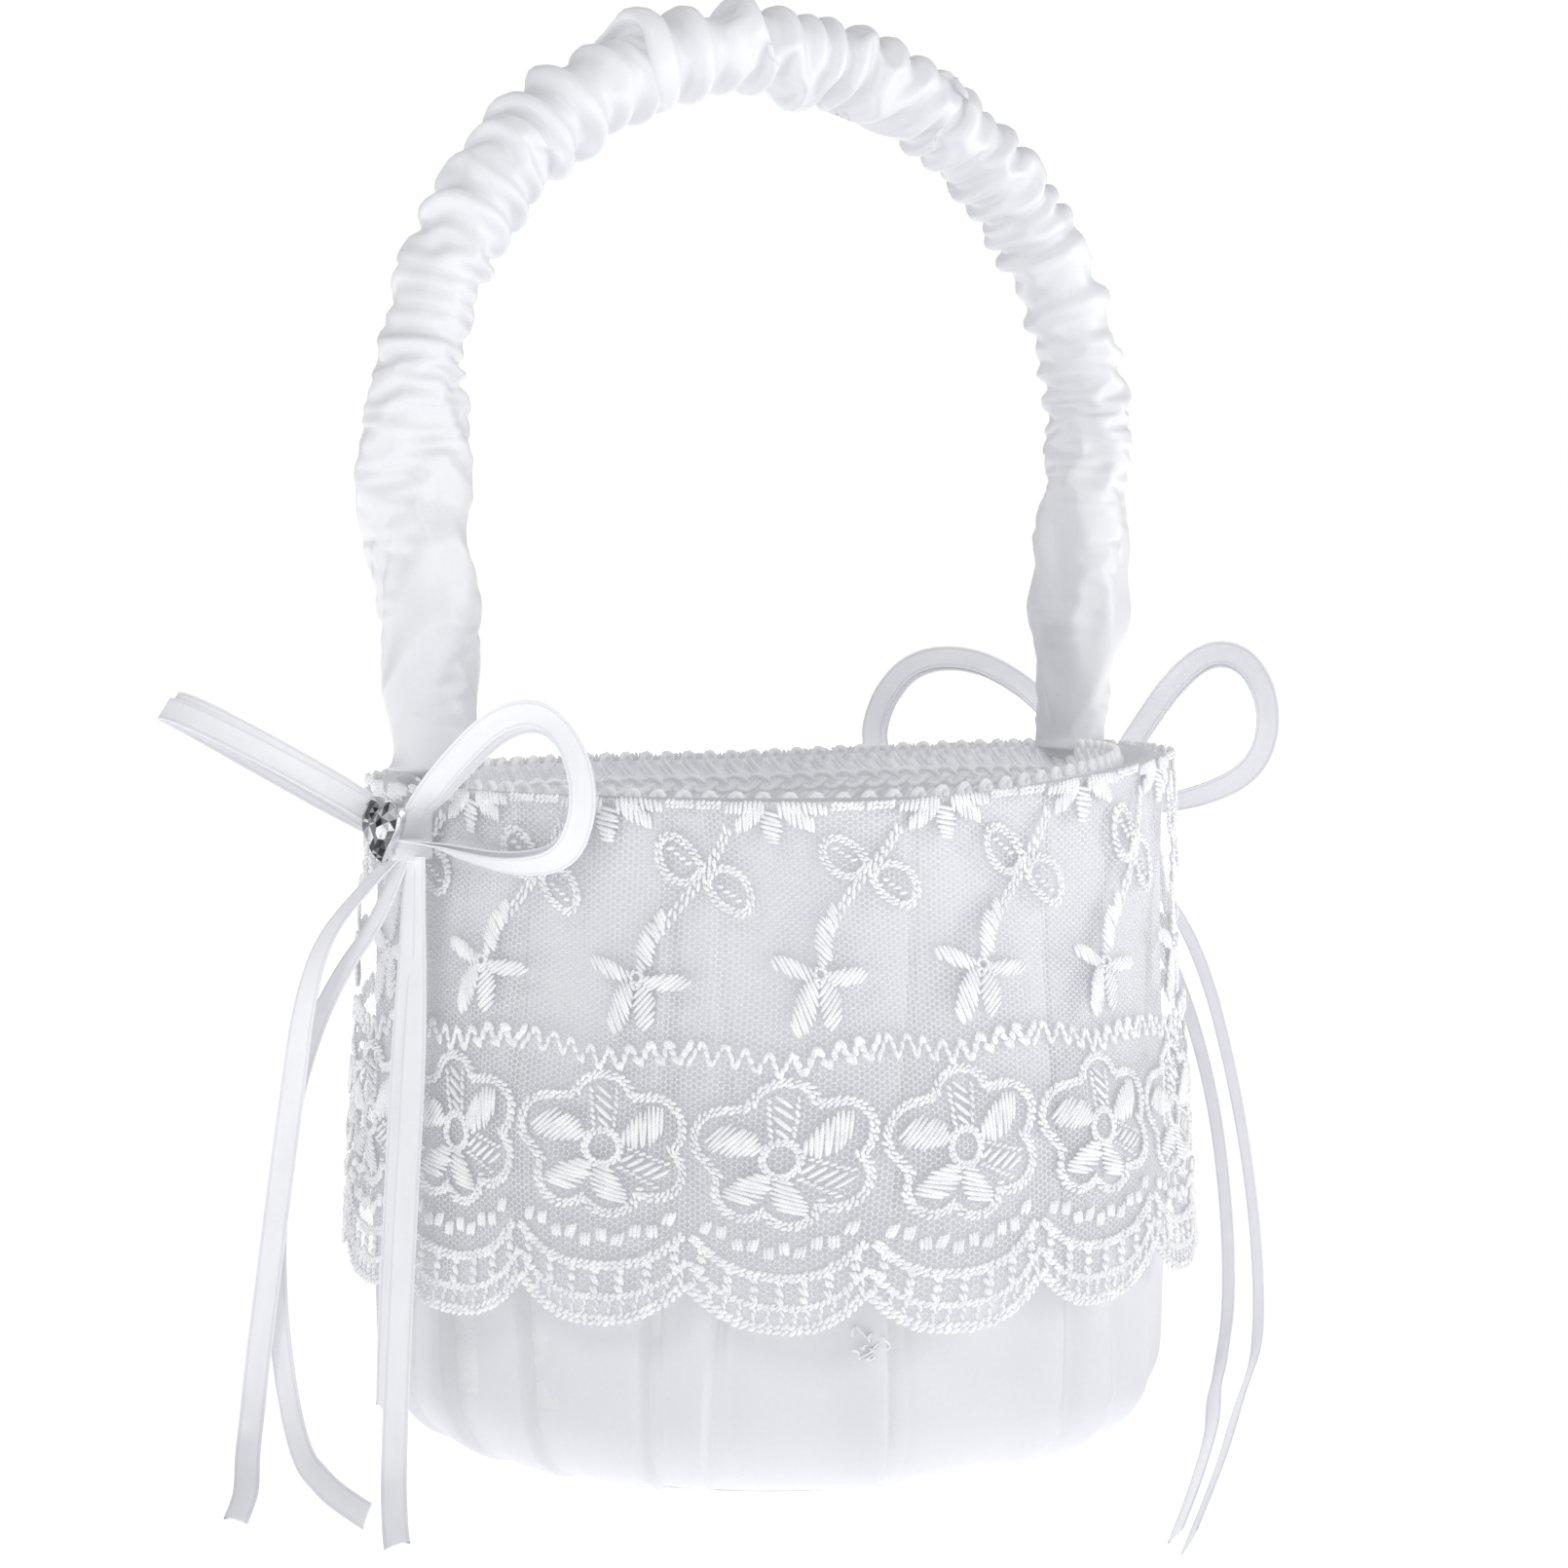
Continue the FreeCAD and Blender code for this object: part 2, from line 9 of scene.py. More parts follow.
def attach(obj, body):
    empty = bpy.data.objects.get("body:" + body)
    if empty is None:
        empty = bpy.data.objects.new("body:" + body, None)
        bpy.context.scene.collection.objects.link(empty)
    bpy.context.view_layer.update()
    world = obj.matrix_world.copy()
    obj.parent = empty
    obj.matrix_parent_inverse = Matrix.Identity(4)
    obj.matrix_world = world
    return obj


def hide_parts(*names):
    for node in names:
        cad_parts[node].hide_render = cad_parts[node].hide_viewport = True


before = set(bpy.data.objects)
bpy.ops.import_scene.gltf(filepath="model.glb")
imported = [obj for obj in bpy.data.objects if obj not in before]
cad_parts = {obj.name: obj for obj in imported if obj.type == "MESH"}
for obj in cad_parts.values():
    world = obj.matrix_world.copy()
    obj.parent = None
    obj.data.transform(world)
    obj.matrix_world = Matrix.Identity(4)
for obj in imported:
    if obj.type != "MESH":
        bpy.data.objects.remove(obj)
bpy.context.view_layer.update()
scene = bpy.context.scene
mm = 0.001
print("frame loaded")


# ---- camera ----

cameraSetup = {
    "azimuth": -30.0,
    "elevation": 3.4,
    "distance": 0.570,
    "lens": 77.7,
    "aim": (0.0021, -0.0012, 0.1070),
}


def addCamera(setup):
    azimuth = math.radians(setup["azimuth"])
    elevation = math.radians(setup["elevation"])
    back = Vector((math.sin(azimuth) * math.cos(elevation),
                   -math.cos(azimuth) * math.cos(elevation),
                   math.sin(elevation)))
    lens = bpy.data.cameras.new("camera")
    lens.lens = setup["lens"]
    lens.clip_start = 0.01
    camera = bpy.data.objects.new("camera", lens)
    scene.collection.objects.link(camera)
    camera.location = Vector(setup["aim"]) + back * setup["distance"]
    camera.rotation_mode = "QUATERNION"
    camera.rotation_quaternion = (-back).to_track_quat("-Z", "Y")
    scene.camera = camera


addCamera(cameraSetup)


# ---- shared helpers ----

def deselectAll():
    if bpy.context.mode != "OBJECT":
        bpy.ops.object.mode_set(mode="OBJECT")
    bpy.ops.object.select_all(action="DESELECT")


def makeActive(piece):
    deselectAll()
    piece.select_set(True)
    bpy.context.view_layer.objects.active = piece


def smoothStep(value, low, high):
    share = np.clip((np.asarray(value, float) - low) / (high - low), 0, 1)
    return share * share * (3 - 2 * share)


def unit(vectors):
    return vectors / np.maximum(np.linalg.norm(vectors, axis=-1, keepdims=True), 1e-12)


def meshPiece(name, points, faces, uvs=None):
    mesh = bpy.data.meshes.new(name)
    mesh.from_pydata([tuple(point) for point in np.asarray(points).reshape(-1, 3)], [], faces)
    if uvs is not None:
        flat = np.asarray(uvs, float).reshape(-1, 2)
        layer = mesh.uv_layers.new(name="cloth")
        corner = np.zeros(len(mesh.loops), int)
        mesh.loops.foreach_get("vertex_index", corner)
        layer.data.foreach_set("uv", flat[corner].ravel())
    mesh.shade_smooth()
    piece = bpy.data.objects.new(name, mesh)
    scene.collection.objects.link(piece)
    return piece


def gridFaces(rows, columns, closed, flip=False):
    faces = []
    for row in range(rows - 1):
        for column in range(columns if closed else columns - 1):
            right = (column + 1) % columns
            face = (row * columns + column, row * columns + right,
                    (row + 1) * columns + right, (row + 1) * columns + column)
            faces.append(face[::-1] if flip else face)
    return faces


def faceOutward(piece):
    makeActive(piece)
    bpy.ops.object.mode_set(mode="EDIT")
    bpy.ops.mesh.select_all(action="SELECT")
    bpy.ops.mesh.normals_make_consistent(inside=False)
    bpy.ops.object.mode_set(mode="OBJECT")


# Adds a part (points, faces, map) to lists that become one mesh.
def joinPart(allPoints, allFaces, allUvs, part):
    points, faces, uvs = part
    base = sum(len(earlier) for earlier in allPoints)
    allPoints.append(points)
    allUvs.extend(uvs)
    allFaces.extend(tuple(base + corner for corner in face) for face in faces)


def applyModifier(piece, kind, **settings):
    makeActive(piece)
    modifier = piece.modifiers.new(kind.lower(), kind)
    for key, value in settings.items():
        setattr(modifier, key, value)
    bpy.ops.object.modifier_apply(modifier=modifier.name)


# Adds thickness inward from the surface.
def thicken(piece, thickness):
    applyModifier(piece, "SOLIDIFY", thickness=thickness, offset=-1.0)


def rounded(piece):
    applyModifier(piece, "SUBSURF", levels=1, render_levels=1)


# Points along the smooth line that a list of control points in metres describes.
def routeLine(points, spacing):
    data = bpy.data.curves.new("route", "CURVE")
    data.dimensions = "3D"
    spline = data.splines.new("NURBS")
    spline.points.add(len(points) - 1)
    for spot, point in zip(spline.points, points):
        spot.co = (*point, 1.0)
    spline.order_u = 3
    spline.use_endpoint_u = True
    spline.resolution_u = 16
    holder = bpy.data.objects.new("route", data)
    scene.collection.objects.link(holder)
    bpy.context.view_layer.update()
    mesh = bpy.data.meshes.new_from_object(holder)
    line = np.array([vertex.co[:] for vertex in mesh.vertices])
    bpy.data.objects.remove(holder)
    bpy.data.meshes.remove(mesh)
    return evenLine(line, spacing)


# The distance along a line at each of its points.
def distances(line):
    return np.concatenate([[0], np.cumsum(np.linalg.norm(np.diff(line, axis=0), axis=1))])


def evenLine(line, spacing):
    along = distances(line)
    count = max(3, int(round(along[-1] / spacing)) + 1)
    even = np.linspace(0, along[-1], count)
    return np.stack([np.interp(even, along, line[:, axis]) for axis in range(3)], axis=1)


# ---- materials ----

class Wire:
    def __init__(self, graph, socket):
        self.graph = graph
        self.socket = socket

    def maths(self, operation, *values):
        node = self.graph.node("ShaderNodeMath", {"operation": operation}, dict(enumerate(values)))
        return Wire(self.graph, node.outputs[0])

    def __add__(self, other):
        return self.maths("ADD", self, other)

    def __sub__(self, other):
        return self.maths("SUBTRACT", self, other)

    def __rsub__(self, other):
        return self.maths("SUBTRACT", other, self)

    def __mul__(self, other):
        return self.maths("MULTIPLY", self, other)

    def cosine(self):
        return self.maths("COSINE", self)

    def size(self):
        return self.maths("ABSOLUTE", self)

    def between(self, low, high):
        node = self.graph.node("ShaderNodeMapRange", {"interpolation_type": "SMOOTHSTEP"},
                               {"Value": self, "From Min": low, "From Max": high})
        return Wire(self.graph, node.outputs["Result"])


class Graph:
    def __init__(self, name, roughness=0.5, **constants):
        self.material = bpy.data.materials.new(name)
        self.material.use_nodes = True
        self.tree = self.material.node_tree
        self.surface = self.tree.nodes["Principled BSDF"]
        self.surface.inputs["Roughness"].default_value = roughness
        for label, value in constants.items():
            self.surface.inputs[label.replace("_", " ")].default_value = value

    def node(self, kind, settings, sockets):
        node = self.tree.nodes.new(kind)
        for key, value in settings.items():
            setattr(node, key, value)
        for key, value in sockets.items():
            self.feed(node.inputs[key], value)
        return node

    def feed(self, socket, value):
        if isinstance(value, Wire):
            value = value.socket
        if isinstance(value, bpy.types.NodeSocket):
            self.tree.links.new(value, socket)
        else:
            socket.default_value = value

    def objectPlace(self):
        return self.node("ShaderNodeTexCoord", {}, {}).outputs["Object"]

    def clothPlace(self):
        return self.node("ShaderNodeUVMap", {"uv_map": "cloth"}, {}).outputs["UV"]

    def split(self, place):
        node = self.node("ShaderNodeSeparateXYZ", {}, {0: place})
        return [Wire(self, output) for output in node.outputs]

    def stretched(self, place, scale):
        node = self.node("ShaderNodeMapping", {}, {"Vector": place, "Scale": scale})
        return node.outputs[0]

    def noise(self, place, scale, detail=2.0, roughness=0.5):
        node = self.node("ShaderNodeTexNoise", {},
                         {"Vector": place, "Scale": scale, "Detail": detail, "Roughness": roughness})
        return Wire(self, node.outputs["Fac"])

    def blend(self, factor, first, second):
        node = self.node("ShaderNodeMix", {"data_type": "RGBA"},
                         {0: factor, 6: (*first, 1), 7: (*second, 1)})
        return node.outputs[2]

    def shape(self, height, strength, distance):
        node = self.node("ShaderNodeBump", {},
                         {"Height": height, "Strength": strength, "Distance": distance})
        self.feed(self.surface.inputs["Normal"], node.outputs[0])

    def colour(self, value):
        self.feed(self.surface.inputs["Base Color"], value)

    def rough(self, value):
        self.feed(self.surface.inputs["Roughness"], value)

    def onto(self, *pieces):
        for piece in pieces:
            piece.data.materials.clear()
            piece.data.materials.append(self.material)


# Woven satin: long floats of thread with a soft sheen, a fine grain and a slow change of tone.
def satinFinish(name, light, shade, roughness, grain=0.00006):
    graph = Graph(name, roughness=roughness, Sheen_Weight=0.22, Sheen_Roughness=0.35,
                  Specular_IOR_Level=0.42)
    place = graph.objectPlace()
    drift = graph.noise(place, 34.0, 3.0)
    speck = graph.noise(place, 1500.0, 2.0, 0.7)
    floats = graph.noise(graph.stretched(place, (2600.0, 2600.0, 420.0)), 1.0, 1.0)
    graph.colour(graph.blend(drift * 0.6 + speck * 0.4, shade, light))
    graph.rough(drift * 0.10 + speck * 0.10 + (roughness - 0.10))
    graph.shape(speck * 0.6 + floats * 0.4, 0.55, grain)
    return graph


# Narrow woven ribbon: fine ribs across it and a darker woven line beside each edge. The cloth map is in
# millimetres.
def ribbonFinish():
    # The ribbon's emission is a faint painted glow.
    graph = Graph("ribbonSatin", roughness=0.32, Sheen_Weight=0.15, Sheen_Roughness=0.4,
                  Specular_IOR_Level=0.5, Emission_Color=(0.97, 0.98, 1.0, 1), Emission_Strength=0.06)
    place = graph.clothPlace()
    along, across, _ = graph.split(place)
    ribs = (along * (2 * math.pi / 0.42)).cosine()
    fromMiddle = across.size()
    edgeLine = fromMiddle.between(1.35, 1.5) * (1.0 - fromMiddle.between(1.7, 1.9))
    drift = graph.noise(graph.stretched(place, (0.12, 0.5, 1.0)), 1.0, 3.0)
    tone = drift * 0.5 + (1.0 - edgeLine) * 0.5
    graph.colour(graph.blend(tone, (0.70, 0.71, 0.75), (0.90, 0.905, 0.925)))
    graph.rough(drift * 0.16 + edgeLine * 0.1 + 0.24)
    graph.shape(ribs * 0.12 + edgeLine * 0.7 + drift * 0.6, 0.5, 0.00006)
    return graph


# Hexagonal net: three sets of waves leave threads round each hole. The cloth map is in millimetres.
def netFinish(pitch=0.95):
    graph = Graph("laceNet", roughness=0.6, Sheen_Weight=0.2)
    across, up, _ = graph.split(graph.clothPlace())
    turn = 2 * math.pi / (pitch * math.cos(math.pi / 6))
    first = (across * turn).cosine()
    second = (across * (-0.5 * turn) + up * (math.cos(math.pi / 6) * turn)).cosine()
    third = (across * (-0.5 * turn) - up * (math.cos(math.pi / 6) * turn)).cosine()
    hole = (first + second + third).between(-1.12, -0.62)
    drift = graph.noise(graph.stretched(graph.clothPlace(), (0.2, 0.2, 1.0)), 1.0, 3.0)
    graph.colour(graph.blend(drift, (0.89, 0.895, 0.915), (0.95, 0.955, 0.965)))
    graph.feed(graph.surface.inputs["Alpha"], 0.64 - hole * 0.50)
    graph.shape(1.0 - hole, 0.25, 0.00006)
    return graph


# Bright twisted thread, with painted highlights, shade and sheen in its colour and a painted glow: the
# cloth map runs along each stitch or cord in its own thread widths.
def threadFinish(name, light, shade, roughness, turns, paintedGlow):
    # paintedGlow is a painted glow: the thread's emission stands in for light passing through the thread.
    graph = Graph(name, roughness=roughness, Sheen_Weight=0.1, Specular_IOR_Level=0.7,
                  Emission_Color=(0.97, 0.98, 1.0, 1), Emission_Strength=paintedGlow)
    along, across, _ = graph.split(graph.clothPlace())
    # twist paints highlights on the ridges of the twist and shade in its grooves into the colour.
    twist = ((along * turns + across) * (2 * math.pi)).cosine() * 0.5 + 0.5
    speck = graph.noise(graph.objectPlace(), 2200.0, 2.0)
    # drift paints sheen: slow blotches of lighter and darker thread, as a sheen that changes with stitch
    # direction would give.
    drift = graph.noise(graph.objectPlace(), 330.0, 1.0).between(0.38, 0.62)
    graph.colour(graph.blend(drift * 0.65 + twist * 0.35, shade, light))
    graph.rough(speck * 0.15 + (roughness - 0.07))
    graph.shape(twist * 0.8 + speck * 0.2, 0.7, 0.00012)
    return graph


# Loose fibres for the fleece and the foam.
def fleeceFinish():
    graph = Graph("fleece", roughness=0.95, Sheen_Weight=0.5)
    place = graph.objectPlace()
    fibres = graph.noise(graph.stretched(place, (900.0, 300.0, 900.0)), 1.0, 4.0, 0.7)
    clumps = graph.noise(place, 160.0, 3.0)
    graph.colour(graph.blend(clumps * 0.5 + fibres * 0.5, (0.74, 0.745, 0.76), (0.88, 0.885, 0.895)))
    graph.shape(fibres * 0.6 + clumps * 0.4, 0.8, 0.0004)
    return graph


# Grey-white card with pressed fibres and a slight wear of the surface.
def cardFinish():
    graph = Graph("card", roughness=0.85)
    place = graph.objectPlace()
    fibres = graph.noise(graph.stretched(place, (500.0, 500.0, 1800.0)), 1.0, 4.0, 0.65)
    drift = graph.noise(place, 25.0, 2.0)
    graph.colour(graph.blend(drift * 0.5 + fibres * 0.5, (0.60, 0.585, 0.56), (0.76, 0.75, 0.73)))
    graph.shape(fibres, 0.4, 0.00015)
    return graph


def plasticFinish():
    graph = Graph("corePlastic", roughness=0.42)
    place = graph.objectPlace()
    flow = graph.noise(graph.stretched(place, (60.0, 700.0, 60.0)), 1.0, 3.0)
    graph.colour(graph.blend(flow, (0.78, 0.78, 0.77), (0.86, 0.86, 0.85)))
    graph.rough(flow * 0.2 + 0.32)
    graph.shape(flow, 0.25, 0.0001)
    return graph


def metalFinish(name, light, shade, roughness):
    graph = Graph(name, roughness=roughness, Metallic=1.0)
    place = graph.objectPlace()
    marks = graph.noise(graph.stretched(place, (900.0, 5200.0, 900.0)), 1.0, 3.0)
    tarnish = graph.noise(place, 420.0, 3.0)
    graph.colour(graph.blend(tarnish, shade, light))
    graph.rough(marks * 0.14 + (roughness - 0.05))
    graph.shape(marks, 0.2, 0.00003)
    return graph


satin = satinFinish("satin", (0.83, 0.835, 0.86), (0.72, 0.73, 0.76), 0.42)
liningSatin = satinFinish("liningSatin", (0.88, 0.885, 0.90), (0.79, 0.80, 0.83), 0.52)
ruchedSatin = satinFinish("ruchedSatin", (0.87, 0.875, 0.895), (0.78, 0.79, 0.82), 0.33)
ribbonSatin = ribbonFinish()
net = netFinish()
# The last number of each thread is its painted glow; the braid, in shade inside the rim, is painted
# brightest.
laceThread = threadFinish("laceThread", (0.99, 0.99, 0.995), (0.85, 0.86, 0.885), 0.28, 1.0, 0.06)
braidThread = threadFinish("braidThread", (0.95, 0.955, 0.965), (0.86, 0.87, 0.89), 0.36, 1.0, 0.12)
sewingThread = threadFinish("sewingThread", (0.90, 0.905, 0.92), (0.78, 0.79, 0.82), 0.5, 1.0, 0.0)
fleece = fleeceFinish()
card = cardFinish()
corePlastic = plasticFinish()
steel = metalFinish("stapleSteel", (0.62, 0.62, 0.64), (0.42, 0.42, 0.45), 0.3)
silver = metalFinish("silver", (0.86, 0.86, 0.87), (0.60, 0.60, 0.63), 0.2)
print("materials made")


# ---- ribbon tails ----

tailRibbon = {
    "width": 4.0 * mm,
    "thick": 0.28 * mm,
    "across": 9,
    "spacing": 1.3 * mm,
    "cup": 0.14 * mm,         # how far the middle of the ribbon stands off a flat strip
}
lie = (0.30, 0.72, 1.85)      # heights on the surface: flat, flat on another ribbon, and on its edge


# A flat ribbon along a line. sides gives the width direction at each point; ends are cut at a slant.
def ribbonStrip(name, line, sides, setup, slant=(0.0, 0.0)):
    ahead = unit(np.gradient(line, axis=0))
    sides = unit(sides - ahead * (sides * ahead).sum(1, keepdims=True))
    normals = np.cross(ahead, sides)
    count = len(line)
    along = distances(line)
    share = np.linspace(-1, 1, setup["across"])
    points, uvs = [], []
    for layer in (0.5, -0.5):
        for row in range(count):
            edge = min(row, count - 1 - row) < 1
            for value in share:
                lift = layer * setup["thick"] + setup["cup"] * (1 - value * value)
                shift = 0.0
                if edge:
                    shift = (slant[0] if row == 0 else slant[1]) * value
                points.append(line[row] + sides[row] * (value * setup["width"] / 2)
                              + normals[row] * lift + ahead[row] * shift)
                uvs.append(((along[row] + shift) / mm, value * setup["width"] / 2 / mm))
    columns = len(share)
    faces = gridFaces(count, columns, False)
    below = count * columns
    faces += [tuple(below + index for index in face[::-1]) for face in gridFaces(count, columns, False)]
    for row in range(count - 1):
        for column, flip in ((0, True), (columns - 1, False)):
            face = (row * columns + column, (row + 1) * columns + column,
                    below + (row + 1) * columns + column, below + row * columns + column)
            faces.append(face[::-1] if flip else face)
    for row, flip in ((0, False), (count - 1, True)):
        for column in range(columns - 1):
            face = (row * columns + column, row * columns + column + 1,
                    below + row * columns + column + 1, below + row * columns + column)
            faces.append(face[::-1] if flip else face)
    piece = meshPiece(name, points, faces, uvs)
    faceOutward(piece)
    bpy.ops.object.shade_smooth_by_angle(angle=math.radians(50))
    ribbonSatin.onto(piece)
    return piece


# Width direction of a tail: along the bow at the knot, then square to the way it lies on the surface,
# and leaning by some degrees from flat.
def tailSides(line, start, lean):
    ahead = unit(np.gradient(line, axis=0))
    level = ahead.copy()
    level[:, 2] = 0
    heading = unit(level[-len(line) // 3:].mean(0))
    upright = np.abs(ahead[:, 2:3])
    level = unit(level * (1 - upright) + heading * upright * 0.6)
    lying = np.stack([-level[:, 1], level[:, 0], np.zeros(len(line))], axis=1)
    lean = math.radians(lean)
    lying = lying * math.cos(lean) + np.cross(ahead, lying) * math.sin(lean)
    start = unit(np.array(start))
    if (lying[len(line) // 2] @ start) < 0:
        lying = -lying
    share = smoothStep(np.linspace(0, 1, len(line)), 0.02, 0.42)[:, None]
    return unit(start * (1 - share) + lying * share)


# How each tail lies, its lean in degrees, the slant of its cut end, and control points in millimetres
# from the knot down to the surface and along it.
tails = {
    "left_tail_outer": (0, 0, 2.0, [
        (-70.7, -6.1, 98.4), (-77.4, -5.4, 92.0), (-82.6, -4.0, 85.0), (-85.0, -2.2, 75.0),
        (-85.7, 1.0, 61.0), (-86.8, 4.2, 45.0), (-87.6, 7.4, 30.0), (-88.5, 9.6, 17.5), (-89.6, 9.4, 8.6),
        (-92.0, 5.6, 2.7), (-94.8, -1.6, 0.0), (-98.8, -10.6, 0.0), (-103.4, -19.4, 0.0)]),
    "left_tail_back": (2, 52, -1.2, [
        (-70.4, -8.2, 98.4), (-73.8, -6.2, 88.2), (-78.4, -2.6, 80.6), (-82.3, 1.8, 69.6),
        (-84.9, 5.6, 55.6), (-85.8, 8.4, 40.4), (-85.3, 9.6, 26.0), (-84.3, 9.0, 14.4), (-83.9, 6.2, 6.6),
        (-84.4, 0.4, 2.2), (-85.6, -8.2, 0.0), (-87.4, -19.6, 0.0), (-87.6, -32.4, 0.0)]),
    "left_tail_middle": (0, 0, 1.8, [
        (-70.2, -10.3, 98.4), (-70.9, -10.9, 86.8), (-71.8, -11.8, 77.4), (-73.1, -12.8, 65.0),
        (-74.4, -13.8, 50.6), (-75.6, -14.7, 36.4), (-76.6, -15.2, 23.4), (-77.2, -16.0, 12.6)]),
    "left_tail_front": (0, 0, -2.2, [
        (-69.9, -12.4, 98.4), (-70.2, -12.9, 86.2), (-71.1, -14.0, 76.4), (-72.6, -15.6, 63.4),
        (-74.3, -17.2, 49.0), (-75.9, -18.8, 35.0), (-77.3, -20.2, 22.0), (-78.5, -21.8, 11.2),
        (-80.0, -24.6, 4.4), (-82.0, -29.4, 1.6), (-84.8, -36.2, 0.0), (-87.8, -43.8, 0.0)]),
    "right_tail_outer": (2, 58, 1.6, [
        (70.7, 6.1, 98.4), (75.6, 5.4, 91.2), (82.0, 4.2, 87.2), (88.2, 2.8, 80.0),
        (93.2, 1.2, 68.4), (97.0, 0.0, 54.0), (99.4, -1.8, 39.0), (100.0, -4.2, 25.0), (98.6, -7.6, 13.2),
        (94.8, -12.3, 4.6), (88.2, -19.4, 0.0), (78.4, -30.0, 0.0), (65.1, -44.6, 0.0),
        (48.4, -63.6, 0.0), (29.1, -84.6, 0.0), (10.8, -104.0, 0.0)]),
    "right_tail_front": (2, 52, -1.6, [
        (70.4, 8.2, 98.4), (74.8, 7.2, 87.8), (80.6, 5.2, 81.6), (85.8, 2.8, 72.4),
        (90.0, 0.6, 59.6), (92.8, -1.4, 45.6), (94.0, -3.0, 31.8), (93.4, -5.4, 18.8), (90.6, -9.0, 8.6),
        (85.4, -14.0, 3.0), (78.0, -22.8, 0.0), (67.8, -34.5, 0.0), (55.5, -50.7, 0.0),
        (40.8, -67.6, 0.0), (25.1, -85.2, 0.0), (10.7, -100.7, 0.0)]),
    "right_tail_middle": (1, 0, 1.8, [
        (70.2, 10.3, 98.4), (72.8, 11.0, 86.6), (75.4, 12.4, 77.0), (77.4, 14.4, 64.4),
        (78.6, 16.4, 50.0), (79.0, 18.4, 35.6), (79.0, 20.6, 22.2), (79.0, 23.8, 11.0), (78.9, 29.2, 4.0),
        (78.0, 37.2, 1.4), (75.4, 48.6, 0.0), (70.6, 62.4, 0.0), (62.0, 75.6, 0.0)]),
    "right_tail_back": (0, 0, -1.8, [
        (69.9, 12.4, 98.4), (71.4, 13.8, 86.0), (72.6, 16.4, 75.8), (73.6, 19.4, 62.6),
        (74.2, 22.4, 48.0), (74.4, 25.0, 34.0), (74.4, 27.6, 21.2), (74.2, 31.0, 10.8), (73.6, 36.4, 4.2),
        (72.2, 43.6, 1.5), (69.2, 53.0, 0.0), (63.6, 62.8, 0.0), (55.4, 70.6, 0.0)]),
}
bowTurn = math.radians(7.5)


def makeTails():
    for name, (level, lean, slant, route) in tails.items():
        points = [(x * mm, y * mm, max(z, lie[level]) * mm) for x, y, z in route]
        line = routeLine(points, tailRibbon["spacing"])
        sign = -1 if name.startswith("left") else 1
        start = (-math.sin(bowTurn) * sign, math.cos(bowTurn) * sign, 0)
        piece = ribbonStrip(name + "_ribbon", line, tailSides(line, start, lean), tailRibbon,
                            (0, slant * mm))
        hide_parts(name)
        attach(piece, "left_tails" if sign < 0 else "right_tails")


makeTails()
print("ribbon tails made")


# ---- handle sleeve ----

handle = {
    "footX": 61.1, "topX": 64.5, "kink": 110.5, "legTop": 160.0, "foot": 111.4, "tongueFoot": 75.0,
    "rows": 250, "around": 48, "rounds": 700,
    "fullness": 0.60,         # extra length of cloth in the gathered part
    "smoothShare": 0.215,     # share of the length that stays smooth at each end
    "core": (5.5, 7.2),       # half sizes, radial and across, that the cloth can't go inside
    "start": (6.0, 7.4),      # half sizes of the gathered part before it settles
    "flat": (7.4, 8.8),       # half sizes of the smooth part above the rim
    "girth": 6.9,             # mean radius of the sewn tube
    # width of the smooth part by height above the foot: pinched low down, widest at 26 mm
    "swell": ([0, 5, 11, 26, 44, 60, 72], [0.90, 0.96, 1.08, 1.32, 1.26, 1.12, 1.0]),
    "slack": 1.03,            # cloth length over tube length in the smooth part
    "unevenness": 2.6,        # how much the gathering changes along the handle
    "crowdingLimits": (0.15, 2.1),
}


# The handle's middle line in millimetres at a distance along it, and the direction away from the arch's
# centre.
def handleLine(distance):
    lean = math.atan((handle["topX"] - handle["footX"]) / (handle["legTop"] - handle["kink"]))
    radius = handle["topX"] / math.cos(lean)
    centre = handle["legTop"] + radius * math.sin(lean)
    leg = (handle["legTop"] - handle["foot"]) / math.cos(lean)
    arc = radius * (math.pi + 2 * lean)
    distance = np.asarray(distance, float)
    angle = np.clip(math.pi + lean - (distance - leg) / radius, -lean, math.pi + lean)
    outward = np.stack([np.cos(angle), 0 * angle, np.sin(angle)], axis=-1)
    place = outward * radius + np.array([0, 0, centre])
    down = np.where(distance < leg, leg - distance,
                    np.where(distance > leg + arc, distance - leg - arc, 0))
    side = np.where(distance < leg, -1, 1)
    place[..., 0] -= side * math.sin(lean) * down
    place[..., 2] -= math.cos(lean) * down
    return place, outward, 2 * leg + arc


